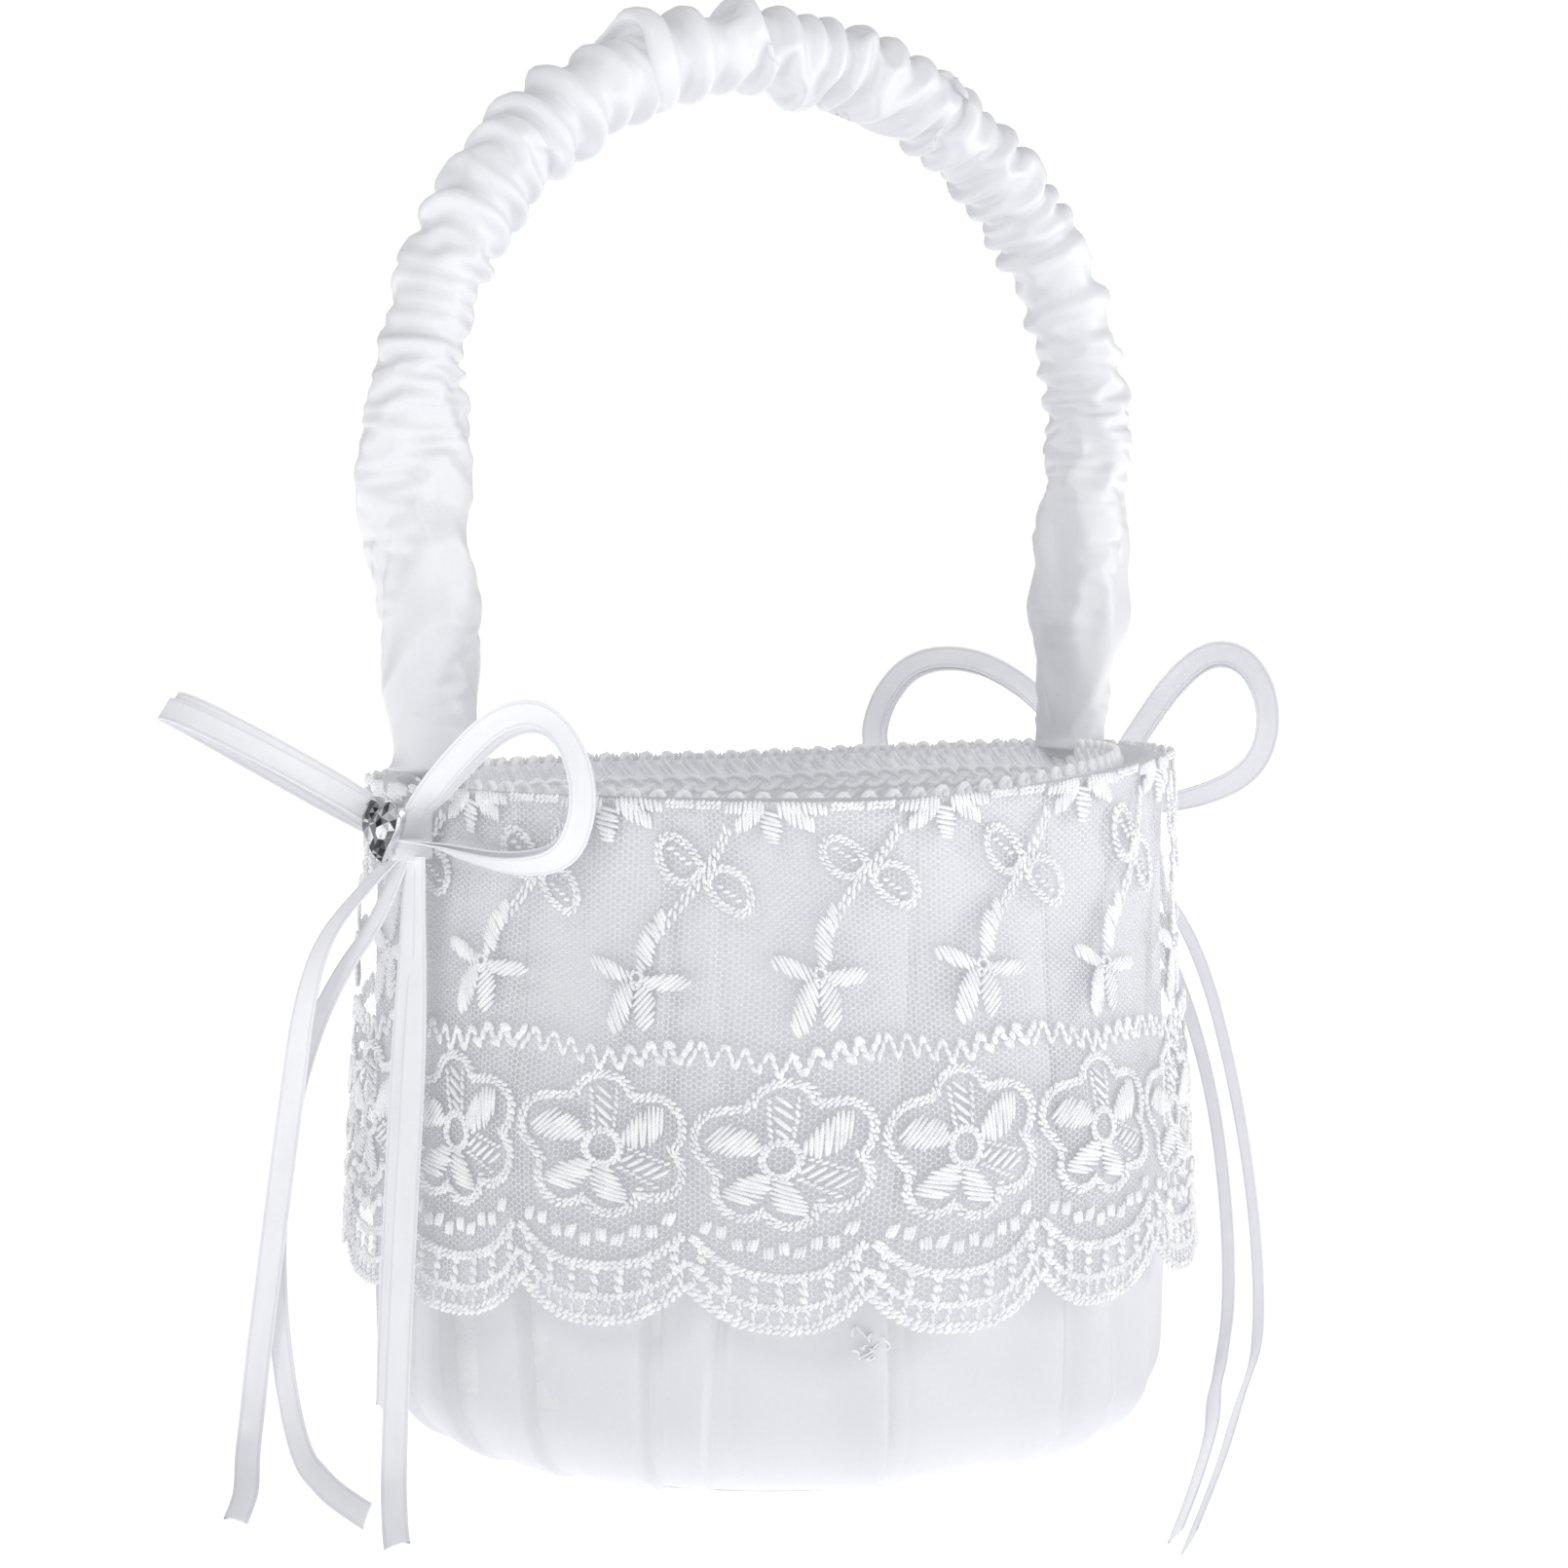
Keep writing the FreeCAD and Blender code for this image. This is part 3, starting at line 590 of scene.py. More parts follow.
# Position-based cloth: a tube longer than its core, pushed into crosswise folds by its own length.
def ruchedTube():
    rows, around = handle["rows"], handle["around"]
    total = float(handleLine(0.0)[2])
    share = np.linspace(0, 1, rows)
    stations = share * total
    fromEnd = np.minimum(share, 1 - share)
    smooth = handle["smoothShare"]
    uneven = np.array([noise.noise(Vector((station / 12.0, 2.0, 5.0))) for station in stations])
    crowding = handle["fullness"] * np.clip(1 + handle["unevenness"] * uneven, *handle["crowdingLimits"])
    stretch = handle["slack"] + crowding * smoothStep(fromEnd, smooth, smooth + 0.03)
    angles = np.arange(around) * 2 * math.pi / around
    ripple = np.zeros((rows, around))
    for row in range(rows):
        for column in range(around):
            slope = 1.5 + 1.1 * math.sin(stations[row] / 8.0)
            swing = slope * math.sin(angles[column] + stations[row] / 19.0)
            spot = Vector((stations[row] / (5.0 + 2.4 * uneven[row]) + swing,
                           1.3 * math.cos(angles[column]), 1.3 * math.sin(angles[column])))
            ripple[row, column] = noise.noise(spot) + 0.6 * noise.noise(spot * 2.3 + Vector((9, 3, 1)))
    gathered = smoothStep(fromEnd, smooth - 0.03, smooth + 0.04)[:, None]
    ripple *= 0.25 + 0.75 * gathered
    fromFoot = fromEnd * total
    swell = np.interp(fromFoot, *handle["swell"])[:, None]
    ripple += (1 - gathered) * 1.2 * np.sin(2 * angles + stations[:, None] / 7.0)
    folds = np.zeros((rows, around))
    for row in np.nonzero(gathered[:, 0] < 0.99)[0]:
        for column in range(around):
            spot = Vector((stations[row] / 13.0 + 0.8 * math.sin(angles[column]),
                           math.cos(angles[column]), math.sin(angles[column])))
            folds[row, column] = 0.35 - 1.6 * abs(noise.noise(spot)) + 0.9 * noise.noise(spot * 0.6)
    wide = [handle["flat"][axis] * (1 - gathered) + handle["start"][axis] * gathered for axis in (0, 1)]
    points = np.stack([np.cos(angles) * (wide[0] * swell + 1.2 * ripple),
                       np.sin(angles) * (wide[1] * swell + 1.2 * ripple),
                       np.repeat(stations[:, None], around, 1)], axis=-1)
    step = total / (rows - 1)
    length = (step * 0.5 * (stretch[1:] + stretch[:-1]))[:, None, None]
    hoop = 2 * math.pi * handle["girth"] / around * swell[..., None]
    slanting = np.sqrt(length ** 2 + hoop[:-1] ** 2)
    first, last = points[0].copy(), points[-1].copy()
    before = points.copy()

    def gap(difference):
        return np.linalg.norm(difference, axis=-1, keepdims=True) + 1e-9

    for turn in range(handle["rounds"]):
        moved = points + (points - before) * 0.90
        before = points
        points = moved
        for half in range(2):
            push = np.zeros_like(points)
            count = np.zeros((rows, around, 1))
            difference = points[1:] - points[:-1]
            size = gap(difference)
            change = difference / size * (size - length) * 0.5
            push[:-1] += change
            push[1:] -= change
            count[:-1] += 1
            count[1:] += 1
            difference = np.roll(points, -1, 1) - points
            size = gap(difference)
            change = difference / size * (size - hoop) * 0.5 * np.where(size > hoop, 1.0, 0.35)
            push += change - np.roll(change, 1, 1)
            count += 2
            for shift in (-1, 1):
                difference = np.roll(points, shift, 1)[1:] - points[:-1]
                size = gap(difference)
                change = difference / size * (size - slanting) * 0.25
                push[:-1] += change
                push[1:] -= np.roll(change, -shift, 1)
                count[:-1] += 0.5
                count[1:] += 0.5
            for reach, limit, weight in ((2, 1.55, 0.8), (4, 2.3, 0.5)):
                difference = points[reach:] - points[:-reach]
                size = gap(difference)
                least = (limit * step * stretch[:-reach])[:, None, None]
                change = difference / size * np.minimum(size - least, 0) * 0.5 * weight
                push[:-reach] += change
                push[reach:] -= change
                count[:-reach] += 0.5
                count[reach:] += 0.5
            for reach, limit, weight in ((2, 1.6, 0.8), (4, 2.6, 0.4)):
                difference = np.roll(points, -reach, 1) - points
                size = gap(difference)
                change = difference / size * np.minimum(size - limit * hoop, 0) * 0.5 * weight
                push += change - np.roll(change, reach, 1)
                count += 1
            points = points + push / np.maximum(count, 1) * 1.35
            reachOut = gap(points[..., :2] / np.array(handle["core"]))
            points[..., :2] *= np.where(reachOut < 1, 1 / reachOut, 1.0)
            points[0], points[-1] = first, last
    folds *= (1 - gathered) * smoothStep(fromFoot, 3, 16)[:, None]
    points[..., :2] *= (1 + 0.20 * folds)[..., None]
    return points, total


def makeSleeve():
    points, total = ruchedTube()
    around = handle["around"]
    # depths of the flat tongues below the foot, with how flat the tube is there
    tongue = [(depth, float(smoothStep(depth, -1.5, 3.4)))
              for depth in (0.5, 2.0, 3.2, 5.0, 9.0, 16.0, 24.0, 30.0, 36.4)]
    angles = np.arange(around) * 2 * math.pi / around
    strip = np.stack([np.cos(angles) * 0.85, np.sin(angles) * 5.0], axis=-1)
    strip[:, 0] = np.sign(np.cos(angles)) * np.abs(np.cos(angles)) ** 0.5 * 0.85
    out = []

    def place(ring):
        line, outward, _ = handleLine(ring[:, 2])
        spots = line + outward * ring[:, 0:1]
        spots[:, 1] += ring[:, 1]
        return spots

    for depth, flat in reversed(tongue):
        ring = points[0, :, :2] * (1 - flat) + strip * np.array([-1, 1]) * flat
        x = -handle["footX"] - ring[:, 0]
        out.append(np.stack([x, ring[:, 1], np.full(around, handle["foot"] - depth)], axis=-1))
    # the arch's outward direction is -X on the left leg, so a positive local x lies further left
    for ring in points:
        out.append(place(ring))
    for depth, flat in tongue:
        ring = points[-1, :, :2] * (1 - flat) + strip * flat
        x = handle["footX"] + ring[:, 0]
        out.append(np.stack([x, ring[:, 1], np.full(around, handle["foot"] - depth)], axis=-1))
    cloth = np.array(out) * mm
    piece = meshPiece("handle_sleeve_satin", cloth, gridFaces(len(out), around, True, flip=True))
    rounded(piece)
    thicken(piece, 0.3 * mm)
    ruchedSatin.onto(piece)
    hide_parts("handle_sleeve")
    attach(piece, "basket")
    length = total * (1 + handle["fullness"] * 0.85) * mm
    tongues = 73 * mm             # both flat ends inside the body
    length + tongues


makeSleeve()
print("handle sleeve made")


# ---- satin cover ----

body = {
    "foot": 52.0, "edge": 13.0, "disc": 0.8, "radius": 65.0, "rim": 108.7,
    "columns": 1080,
    "highSide": 100.0, "highRise": 4.3,     # the rim's high side: degrees from the front, rise in mm
    "lowSide": 12.0, "lowDrop": 0.8,        # its low side, with the drop in mm
}
front = math.radians(240)     # direction of the middle of the front, from +X
# Tucks in the cover: degrees round from the front, width in degrees, depth in millimetres.
tucks = [(-64, 5, 1.1), (-50, 7, 1.4), (-36, 6, 1.5), (-16, 7, 1.5), (-8, 5, 1.0), (17, 4.5, 1.8),
         (41, 6, 1.8), (53, 7, 1.9), (68, 5, 1.3), (88, 7, 1.2), (107, 5, 0.9), (126, 6, 1.1),
         (150, 5, 1.0), (172, 7, 1.2), (196, 5, 1.0), (214, 6, 1.2), (236, 5, 0.9), (258, 7, 1.1),
         (277, 5, 1.2)]


# The soft rim stands a little higher on one side; the rise fades out down the wall.
def rimRise(points):
    turn = np.arctan2(points[..., 1], points[..., 0])
    high = np.clip(np.cos(turn - (front + math.radians(body["highSide"]))), 0, 1) ** 1.4
    low = np.clip(np.cos(turn - (front + math.radians(body["lowSide"]))), 0, 1) ** 6
    rise = body["highRise"] * high - body["lowDrop"] * low
    return rise * smoothStep(points[..., 2] / mm, 84, 108) * mm


# How far the cover stands out at an angle: each tuck is a soft rise that ends in a step with a groove.
def tuckRise(angle, height):
    turned = (np.degrees(angle - front) + 180) % 360 - 180
    rise = np.zeros_like(turned)
    for centre, width, depth in tucks:
        wander = 1.6 * math.sin(centre * 1.7 + height / 23.0)
        away = (turned - centre - wander + 180) % 360 - 180
        share = away / width
        rise += depth * np.where(share < 0, np.exp(-(share / 1.0) ** 2), np.exp(-(share / 0.12) ** 2))
        rise -= 0.75 * depth * np.exp(-((share - 0.26) / 0.12) ** 2)
        rise -= 0.3 * depth * np.exp(-((share - 0.6) / 0.35) ** 2)
    return rise


def makeCover():
    profile = []
    for share in np.linspace(0, 1, 7)[:-1]:
        profile.append((8 + (body["foot"] - 8) * share, body["disc"] + 0.15, 0.0))
    centre = body["disc"] + body["edge"]
    for share in np.linspace(0, 1, 16):
        turn = share * math.pi / 2
        profile.append((body["foot"] + body["edge"] * math.sin(turn),
                        centre - body["edge"] * math.cos(turn), 0.35 + 0.9 * share))
    for height in np.linspace(centre + 3, 106.4, 34):
        firm = 1.35 - 0.75 * float(smoothStep(height, 35, 95))
        profile.append((body["radius"], height, firm))
    for turn in np.linspace(0.2, 1.0, 5):
        angle = turn * math.pi
        profile.append((63.7 + 1.7 * math.cos(angle), 107.0 + 1.7 * math.sin(angle), 0.25))
    profile += [(61.5, 106.1, 0.1), (60.7, 105.6, 0.05), (59.75, 105.3, 0.0)]
    columns = body["columns"]
    angles = np.arange(columns) * 2 * math.pi / columns
    points, uvs = [], []
    for radius, height, share in profile:
        rise = tuckRise(angles, height) * share
        soft = np.array([noise.noise(Vector((math.cos(a) * 2.4, math.sin(a) * 2.4, height / 30.0)))
                         for a in angles])
        inward = 0.35 + 0.65 * float(smoothStep(height, 18, 32))
        spread = radius + np.maximum(rise, -inward) + soft * 0.5 * share
        droop = np.zeros(columns)
        if height < centre - 1:
            droop = np.maximum(rise, 0) * 0.3
        points.append(np.stack([spread * np.cos(angles), spread * np.sin(angles), height - droop],
                               axis=-1))
        uvs.append(np.stack([angles * 65.0, np.full(columns, height)], axis=-1))
    cloth = np.array(points) * mm
    cloth[..., 2] = np.maximum(cloth[..., 2], 0.9 * mm)
    cloth[..., 2] += rimRise(cloth)
    piece = meshPiece("satin_cover_cloth", cloth, gridFaces(len(profile), columns, True), uvs)
    satin.onto(piece)
    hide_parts("satin_cover")
    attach(piece, "basket")


makeCover()
print("satin cover made")


# ---- lace skirt ----

lace = {
    "repeats": 16,
    "turn": -5.75,            # degrees from +Y to the start of the pattern
    "top": 108.9, "hem": 29.3, "cusp": 35.6,
    "topRadius": 66.4, "flare": 0.063,
    "scale": 70.0,            # radius at which the pattern is drawn
}
laceStart = math.radians(90 + lace["turn"])
repeatWidth = lace["scale"] * 2 * math.pi / lace["repeats"]


def skirtRadius(height):
    return lace["topRadius"] + (lace["top"] - height) * lace["flare"]


def skirtRipple(angle, height):
    loose = smoothStep(height, 108, 40)
    waves = 0.45 * np.sin(angle * 9 + 0.7) + 0.35 * np.sin(angle * 23 + height / 40.0)
    return waves * (0.15 + 0.6 * (1 - loose))


def hemHeight(across):
    away = np.abs((across / repeatWidth + 0.5) % 1 - 0.5) * 2
    return lace["hem"] + (lace["cusp"] - lace["hem"]) * away ** 2.6


# Puts pattern points (across, up, off the net) in millimetres on the skirt.
def onSkirt(points):
    across, height, off = points[..., 0], points[..., 1], points[..., 2]
    turns = across / lace["scale"]
    height = height + 0.8 * np.sin(turns * 5 + height / 17.0) * (1 - smoothStep(height, 96, 106))
    angle = (laceStart + turns + 0.012 * np.sin(turns * 3 + height / 13.0)
             + 0.008 * np.sin(turns * 11 + height / 9.0))
    radius = skirtRadius(height) + skirtRipple(angle, height) + off
    spots = np.stack([radius * np.cos(angle), radius * np.sin(angle), height], axis=-1) * mm
    spots[..., 2] += rimRise(spots)
    return spots


def makeNet():
    columns, rows = 16 * 36, 44
    across = np.arange(columns) * repeatWidth * lace["repeats"] / columns
    bottom = hemHeight(across)
    points, uvs = [], []
    for share in np.linspace(0, 1, rows):
        height = bottom * (1 - share) + lace["top"] * share
        points.append(np.stack([across, height, np.zeros(columns)], axis=-1))
    flat = np.array(points)
    piece = meshPiece("lace_net", onSkirt(flat), gridFaces(rows, columns, True), flat[..., :2])
    layer = piece.data.uv_layers[0].data
    whole = repeatWidth * lace["repeats"]
    for polygon in piece.data.polygons:
        spots = [layer[index] for index in polygon.loop_indices]
        if max(spot.uv[0] for spot in spots) - min(spot.uv[0] for spot in spots) > whole / 2:
            for spot in spots:
                if spot.uv[0] < whole / 2:
                    spot.uv[0] += whole
    net.onto(piece)
    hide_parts("lace_skirt")
    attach(piece, "basket")


makeNet()


# One stitch: a six-sided spindle a unit long, across and high, made once and copied into every motif.
def modelStitch():
    deselectAll()
    bpy.ops.mesh.primitive_uv_sphere_add(segments=6, ring_count=5, radius=0.5,
                                         rotation=(0, math.pi / 2, 0))
    pattern = bpy.context.object
    bpy.ops.object.transform_apply(rotation=True)
    points = np.array([vertex.co[:] for vertex in pattern.data.vertices])
    points[:, 0] = np.sign(points[:, 0]) * np.abs(points[:, 0] * 2) ** 0.75 / 2
    faces = [tuple(polygon.vertices) for polygon in pattern.data.polygons]
    mesh = pattern.data
    bpy.data.objects.remove(pattern)
    bpy.data.meshes.remove(mesh)
    return points, faces


stitchPoints, stitchFaces = modelStitch()
randomStitch = random.Random(5)
threadWidth = 0.72


# A stitch as (across, up, angle, length, width, height off the net).
def satinFill(stitches, start, end, halfWidths, slant, spacing=0.74, lift=0.45):
    dx, dy = end[0] - start[0], end[1] - start[1]
    length = math.hypot(dx, dy)
    heading = math.atan2(dy, dx)
    count = max(3, int(length / spacing))
    for index in range(count):
        share = (index + 0.5) / count
        half = np.interp(share, np.linspace(0, 1, len(halfWidths)), halfWidths)
        reach = 2 * half / max(0.5, abs(math.sin(slant)))
        jitter = randomStitch.uniform(-0.08, 0.08)
        stitches.append((start[0] + dx * share + jitter, start[1] + dy * share + jitter,
                         heading + slant + jitter, reach * randomStitch.uniform(0.92, 1.08),
                         threadWidth * randomStitch.uniform(0.9, 1.15),
                         lift + 0.25 * math.sin(math.pi * share)))


# A run of short stitches along a line of points, one thread or two side by side.
def outline(stitches, points, closed=False, length=1.3, width=0.68, twin=0.0, lift=0.4, lay=0.55):
    line = np.array(list(points) + ([points[0]] if closed else []), float)
    along = distances(line)
    count = max(2, int(along[-1] / (length * 0.78)))
    spots = (np.arange(count) + 0.5) / count * along[-1]
    for spot in spots:
        here, nextOne, lastOne = (
            np.array([np.interp(place, along, line[:, axis]) for axis in (0, 1)])
            for place in (spot, min(spot + 0.2, along[-1]), max(spot - 0.2, 0)))
        heading = math.atan2(*(nextOne - lastOne)[::-1])
        normal = np.array([-math.sin(heading), math.cos(heading)])
        for side in ((-twin, twin) if twin else (0,)):
            place = here + normal * side
            stitches.append((place[0] + randomStitch.uniform(-0.07, 0.07),
                             place[1] + randomStitch.uniform(-0.07, 0.07),
                             heading + lay + randomStitch.uniform(-0.25, 0.25),
                             length * randomStitch.uniform(0.85, 1.2),
                             width * randomStitch.uniform(0.85, 1.15),
                             lift * randomStitch.uniform(0.8, 1.3)))


def circlePoints(centre, radius, count=16, squash=1.0, start=0.0, turn=2 * math.pi):
    angles = [start + turn * index / count for index in range(count + 1)]
    return [(centre[0] + radius * math.cos(angle), centre[1] + radius * squash * math.sin(angle))
            for angle in angles]


def bigFlower(stitches):
    middle = np.array([0.4, 56.0])
    lobes = ((92, 1.0), (32, 1.05), (-24, 1.0), (-78, 0.9), (-132, 0.95), (158, 1.05))
    edge = []
    for degrees, size in lobes:
        turn = math.radians(degrees)
        centre = middle + np.array([math.cos(turn) * 8.5, math.sin(turn) * 7.1]) * size
        edge += circlePoints(centre, 4.7 * size, 10, 0.92, turn + 1.35, -2.7)
    outline(stitches, edge, closed=True, twin=0.36, length=1.3, width=0.66, lift=0.5, lay=0.6)
    outline(stitches, circlePoints(middle, 2.7, 18), length=1.1, width=0.7, twin=0.28, lift=0.5)
    for index, (degrees, size) in enumerate(lobes):
        turn = math.radians(degrees)
        start = middle + np.array([math.cos(turn), math.sin(turn) * 0.9]) * 3.4
        end = middle + np.array([math.cos(turn), math.sin(turn) * 0.88]) * 10.6 * size
        if index in (0, 2):
            side = np.array([-math.sin(turn), math.cos(turn)]) * 1.6
            outline(stitches, [start + side, end + side * 1.3], length=1.2, width=0.55)
            outline(stitches, [start - side, end - side * 1.3], length=1.2, width=0.55)
            satinFill(stitches, start, end, (0.8, 1.6, 1.3), 0.9, spacing=1.3, lift=0.25)
        else:
            satinFill(stitches, start, end, (0.9, 2.5, 2.9, 2.0), 1.1 if index % 2 else -1.0, lift=0.6)


def starFlower(stitches):
    middle = np.array([4.8, 82.7])
    petals = (((7.0, 90.6), 1.7, 1.0), ((-2.8, 84.6), 1.5, -0.8), ((12.6, 81.6), 1.5, 0.8),
              ((0.4, 74.6), 2.1, 0.9), ((7.0, 75.2), 2.0, -1.0))
    for (x, y), half, slant in petals:
        reach = np.array([x, y]) - middle
        satinFill(stitches, middle + reach * 0.12, middle + reach, (0.5, half, half * 1.05, half * 0.55),
                  slant, spacing=0.8, lift=0.5)
    outline(stitches, circlePoints(middle, 0.9, 8), length=0.9, width=0.6, lift=0.8)


def stemAndButterfly(stitches):
    outline(stitches, [(7.6, 89.6), (10.5, 93.2), (14.2, 97.6), (17.2, 101.6), (19.4, 105.2)], twin=0.42,
            length=1.7, width=0.66, lift=0.5)
    satinFill(stitches, (7.2, 88.6), (8.6, 92.6), (0.9, 1.3, 0.6), 0.8, lift=0.6)
    for centre, turn in (((10.6, 100.8), 2.5), ((18.6, 95.0), -0.65)):
        loop = []
        for index in range(21):
            share = index / 20 * 2 * math.pi
            ahead = 4.6 * (1 - math.cos(share)) / 2 * 1.7 - 4.2
            across = 3.6 * math.sin(share) * (0.75 + 0.25 * math.cos(share / 2))
            loop.append((centre[0] + ahead * math.cos(turn) - across * math.sin(turn),
                         centre[1] + ahead * math.sin(turn) + across * math.cos(turn)))
        outline(stitches, loop, length=1.25, width=0.6, twin=0.32, lift=0.5)
        tip = (centre[0] + 2.2 * math.cos(turn), centre[1] + 2.2 * math.sin(turn))
        outline(stitches, [(centre[0] - 2.4 * math.cos(turn), centre[1] - 2.4 * math.sin(turn)), tip],
                length=1.2, width=0.6, lift=0.35)


def topFlower(stitches):
    satinFill(stitches, (-0.6, 107.6), (-0.7, 102.4), (1.4, 1.9, 1.0), 1.35, lift=0.6)
    satinFill(stitches, (-1.6, 107.9), (-6.9, 105.2), (1.0, 1.6, 1.0), 1.0, lift=0.55)
    satinFill(stitches, (0.6, 107.9), (6.3, 105.6), (1.0, 1.6, 1.0), -1.0, lift=0.55)
    satinFill(stitches, (-2.0, 108.3), (-8.4, 107.9), (0.9, 1.1, 0.8), 1.3, lift=0.6)
    satinFill(stitches, (1.2, 108.3), (8.2, 107.9), (0.9, 1.1, 0.8), -1.3, lift=0.6)
    outline(stitches, [(-13.5, 108.4), (-9.0, 108.4)], length=1.0, twin=0.3)
    outline(stitches, [(8.6, 108.4), (13.6, 108.4)], length=1.0, twin=0.3)


def zigzagRow(stitches):
    count = 17
    points = []
    for index in range(count + 1):
        x = -repeatWidth / 2 + repeatWidth * index / count
        level = 71.6 - 1.9 * math.exp(-(x / 6.0) ** 2)
        points.append((x + randomStitch.uniform(-0.3, 0.3), level + (1.9 if index % 2 else -1.7)))
    for start, end in zip(points, points[1:]):
        outline(stitches, [start, end], length=1.6, width=0.78, lift=0.55, lay=0.3,
                twin=0.15 * (start[0] > 0))


# Bands that follow the scallop: rows of blocks, a ladder, and a doubly stitched edge.
def hemBands(stitches):
    def row(above, share=1.0):
        xs = np.linspace(-repeatWidth / 2 * share, repeatWidth / 2 * share, 30)
        return [(x, float(hemHeight(x)) + above) for x in xs]

    outline(stitches, row(0.6), length=1.5, width=0.85, twin=0.4, lift=0.5)
    outline(stitches, row(3.9), length=1.3, width=0.68, twin=0.2, lift=0.4)
    outline(stitches, row(8.6, 0.96), length=1.4, width=0.74, twin=0.34, lift=0.5)
    for index in range(7):
        x = -repeatWidth / 2 + repeatWidth * (index + 0.5) / 7
        low = float(hemHeight(x)) + 4.3
        outline(stitches, [(x, low), (x + 0.3, low + 4.2)], length=1.5, width=0.7, twin=0.26, lift=0.45)
    for index in range(13):
        x = -repeatWidth / 2 + repeatWidth * (index + 0.5) / 13
        low = float(hemHeight(x)) + 1.5
        outline(stitches, [(x, low), (x + 0.5, low + 2.1)], length=1.4, width=0.6)
    for index in range(10):
        x = -11.0 + 22.0 * index / 9
        level = 41.9 + 0.028 * x * x + (0.5 if index % 2 else -0.3)
        satinFill(stitches, (x - 0.8, level), (x + 0.8, level + 0.1), (0.9, 1.2),
                  1.2 + 0.2 * (index % 3), spacing=0.6, lift=0.55)


# Copies the stitches of a motif into every repeat.
def stitchedPiece(name, draw):
    stitches = []
    draw(stitches)
    x, y, angle, length, width, off = np.array(stitches).T
    across = (stitchPoints[:, 0] * length[:, None] * np.cos(angle)[:, None]
              - stitchPoints[:, 1] * width[:, None] * np.sin(angle)[:, None])
    up = (stitchPoints[:, 0] * length[:, None] * np.sin(angle)[:, None]
          + stitchPoints[:, 1] * width[:, None] * np.cos(angle)[:, None])
    rise = off[:, None] + stitchPoints[:, 2] * np.minimum(width * 1.1, 0.7)[:, None]
    one = np.stack([x[:, None] + across, y[:, None] + up, rise], axis=-1)
    uv = np.stack([stitchPoints[:, 0] * length[:, None] * 2.2,
                   np.repeat(stitchPoints[None, :, 1], len(x), 0)], axis=-1)
    points, uvs, faces = [], [], []
    size = len(stitchPoints)
    for repeat in range(lace["repeats"]):
        moved = one + np.array([repeat * repeatWidth, 0, 0])
        points.append(onSkirt(moved))
        uvs.append(uv)
        base = repeat * len(x) * size
        for index in range(len(x)):
            faces += [tuple(base + index * size + corner for corner in face) for face in stitchFaces]
    piece = meshPiece(name, np.array(points), faces, np.array(uvs))
    laceThread.onto(piece)
    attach(piece, "basket")
    print(name, "stitches", len(x) * lace["repeats"], "faces", len(faces))


for motifName, motif in (("lace_big_flowers", bigFlower), ("lace_star_flowers", starFlower),
                         ("lace_stems", stemAndButterfly), ("lace_top_flowers", topFlower),
                         ("lace_zigzag", zigzagRow), ("lace_hem_bands", hemBands)):
    stitchedPiece(motifName, motif)
print("lace made")


# ---- gimp braid ----

gimp = {
    "units": 90, "radius": 58.9, "middle": 103.6, "cord": 0.66, "sides": 6,
}


# A cord's tube around a line of points; the map runs along and round it in twists.
def cordTube(line, radius, sides):
    ahead = unit(np.gradient(line, axis=0))
    reference = np.array([0.0, 1.0, 0.0])
    right = unit(np.cross(ahead, reference))
    up = np.cross(right, ahead)
    along = distances(line)
    points, uvs = [], []
    count = len(line)
    for row in range(count):
        taper = 0.55 if row in (0, count - 1) else 1.0
        for side in range(sides):
            turn = 2 * math.pi * side / sides
            points.append(line[row] + (right[row] * math.cos(turn) + up[row] * math.sin(turn))
                          * radius * taper)
            uvs.append((along[row] / 1.3, side / sides))
    faces = gridFaces(count, sides, True)
    faces.append(tuple(range(sides))[::-1])
    faces.append(tuple((count - 1) * sides + side for side in range(sides)))
    return np.array(points), faces, uvs


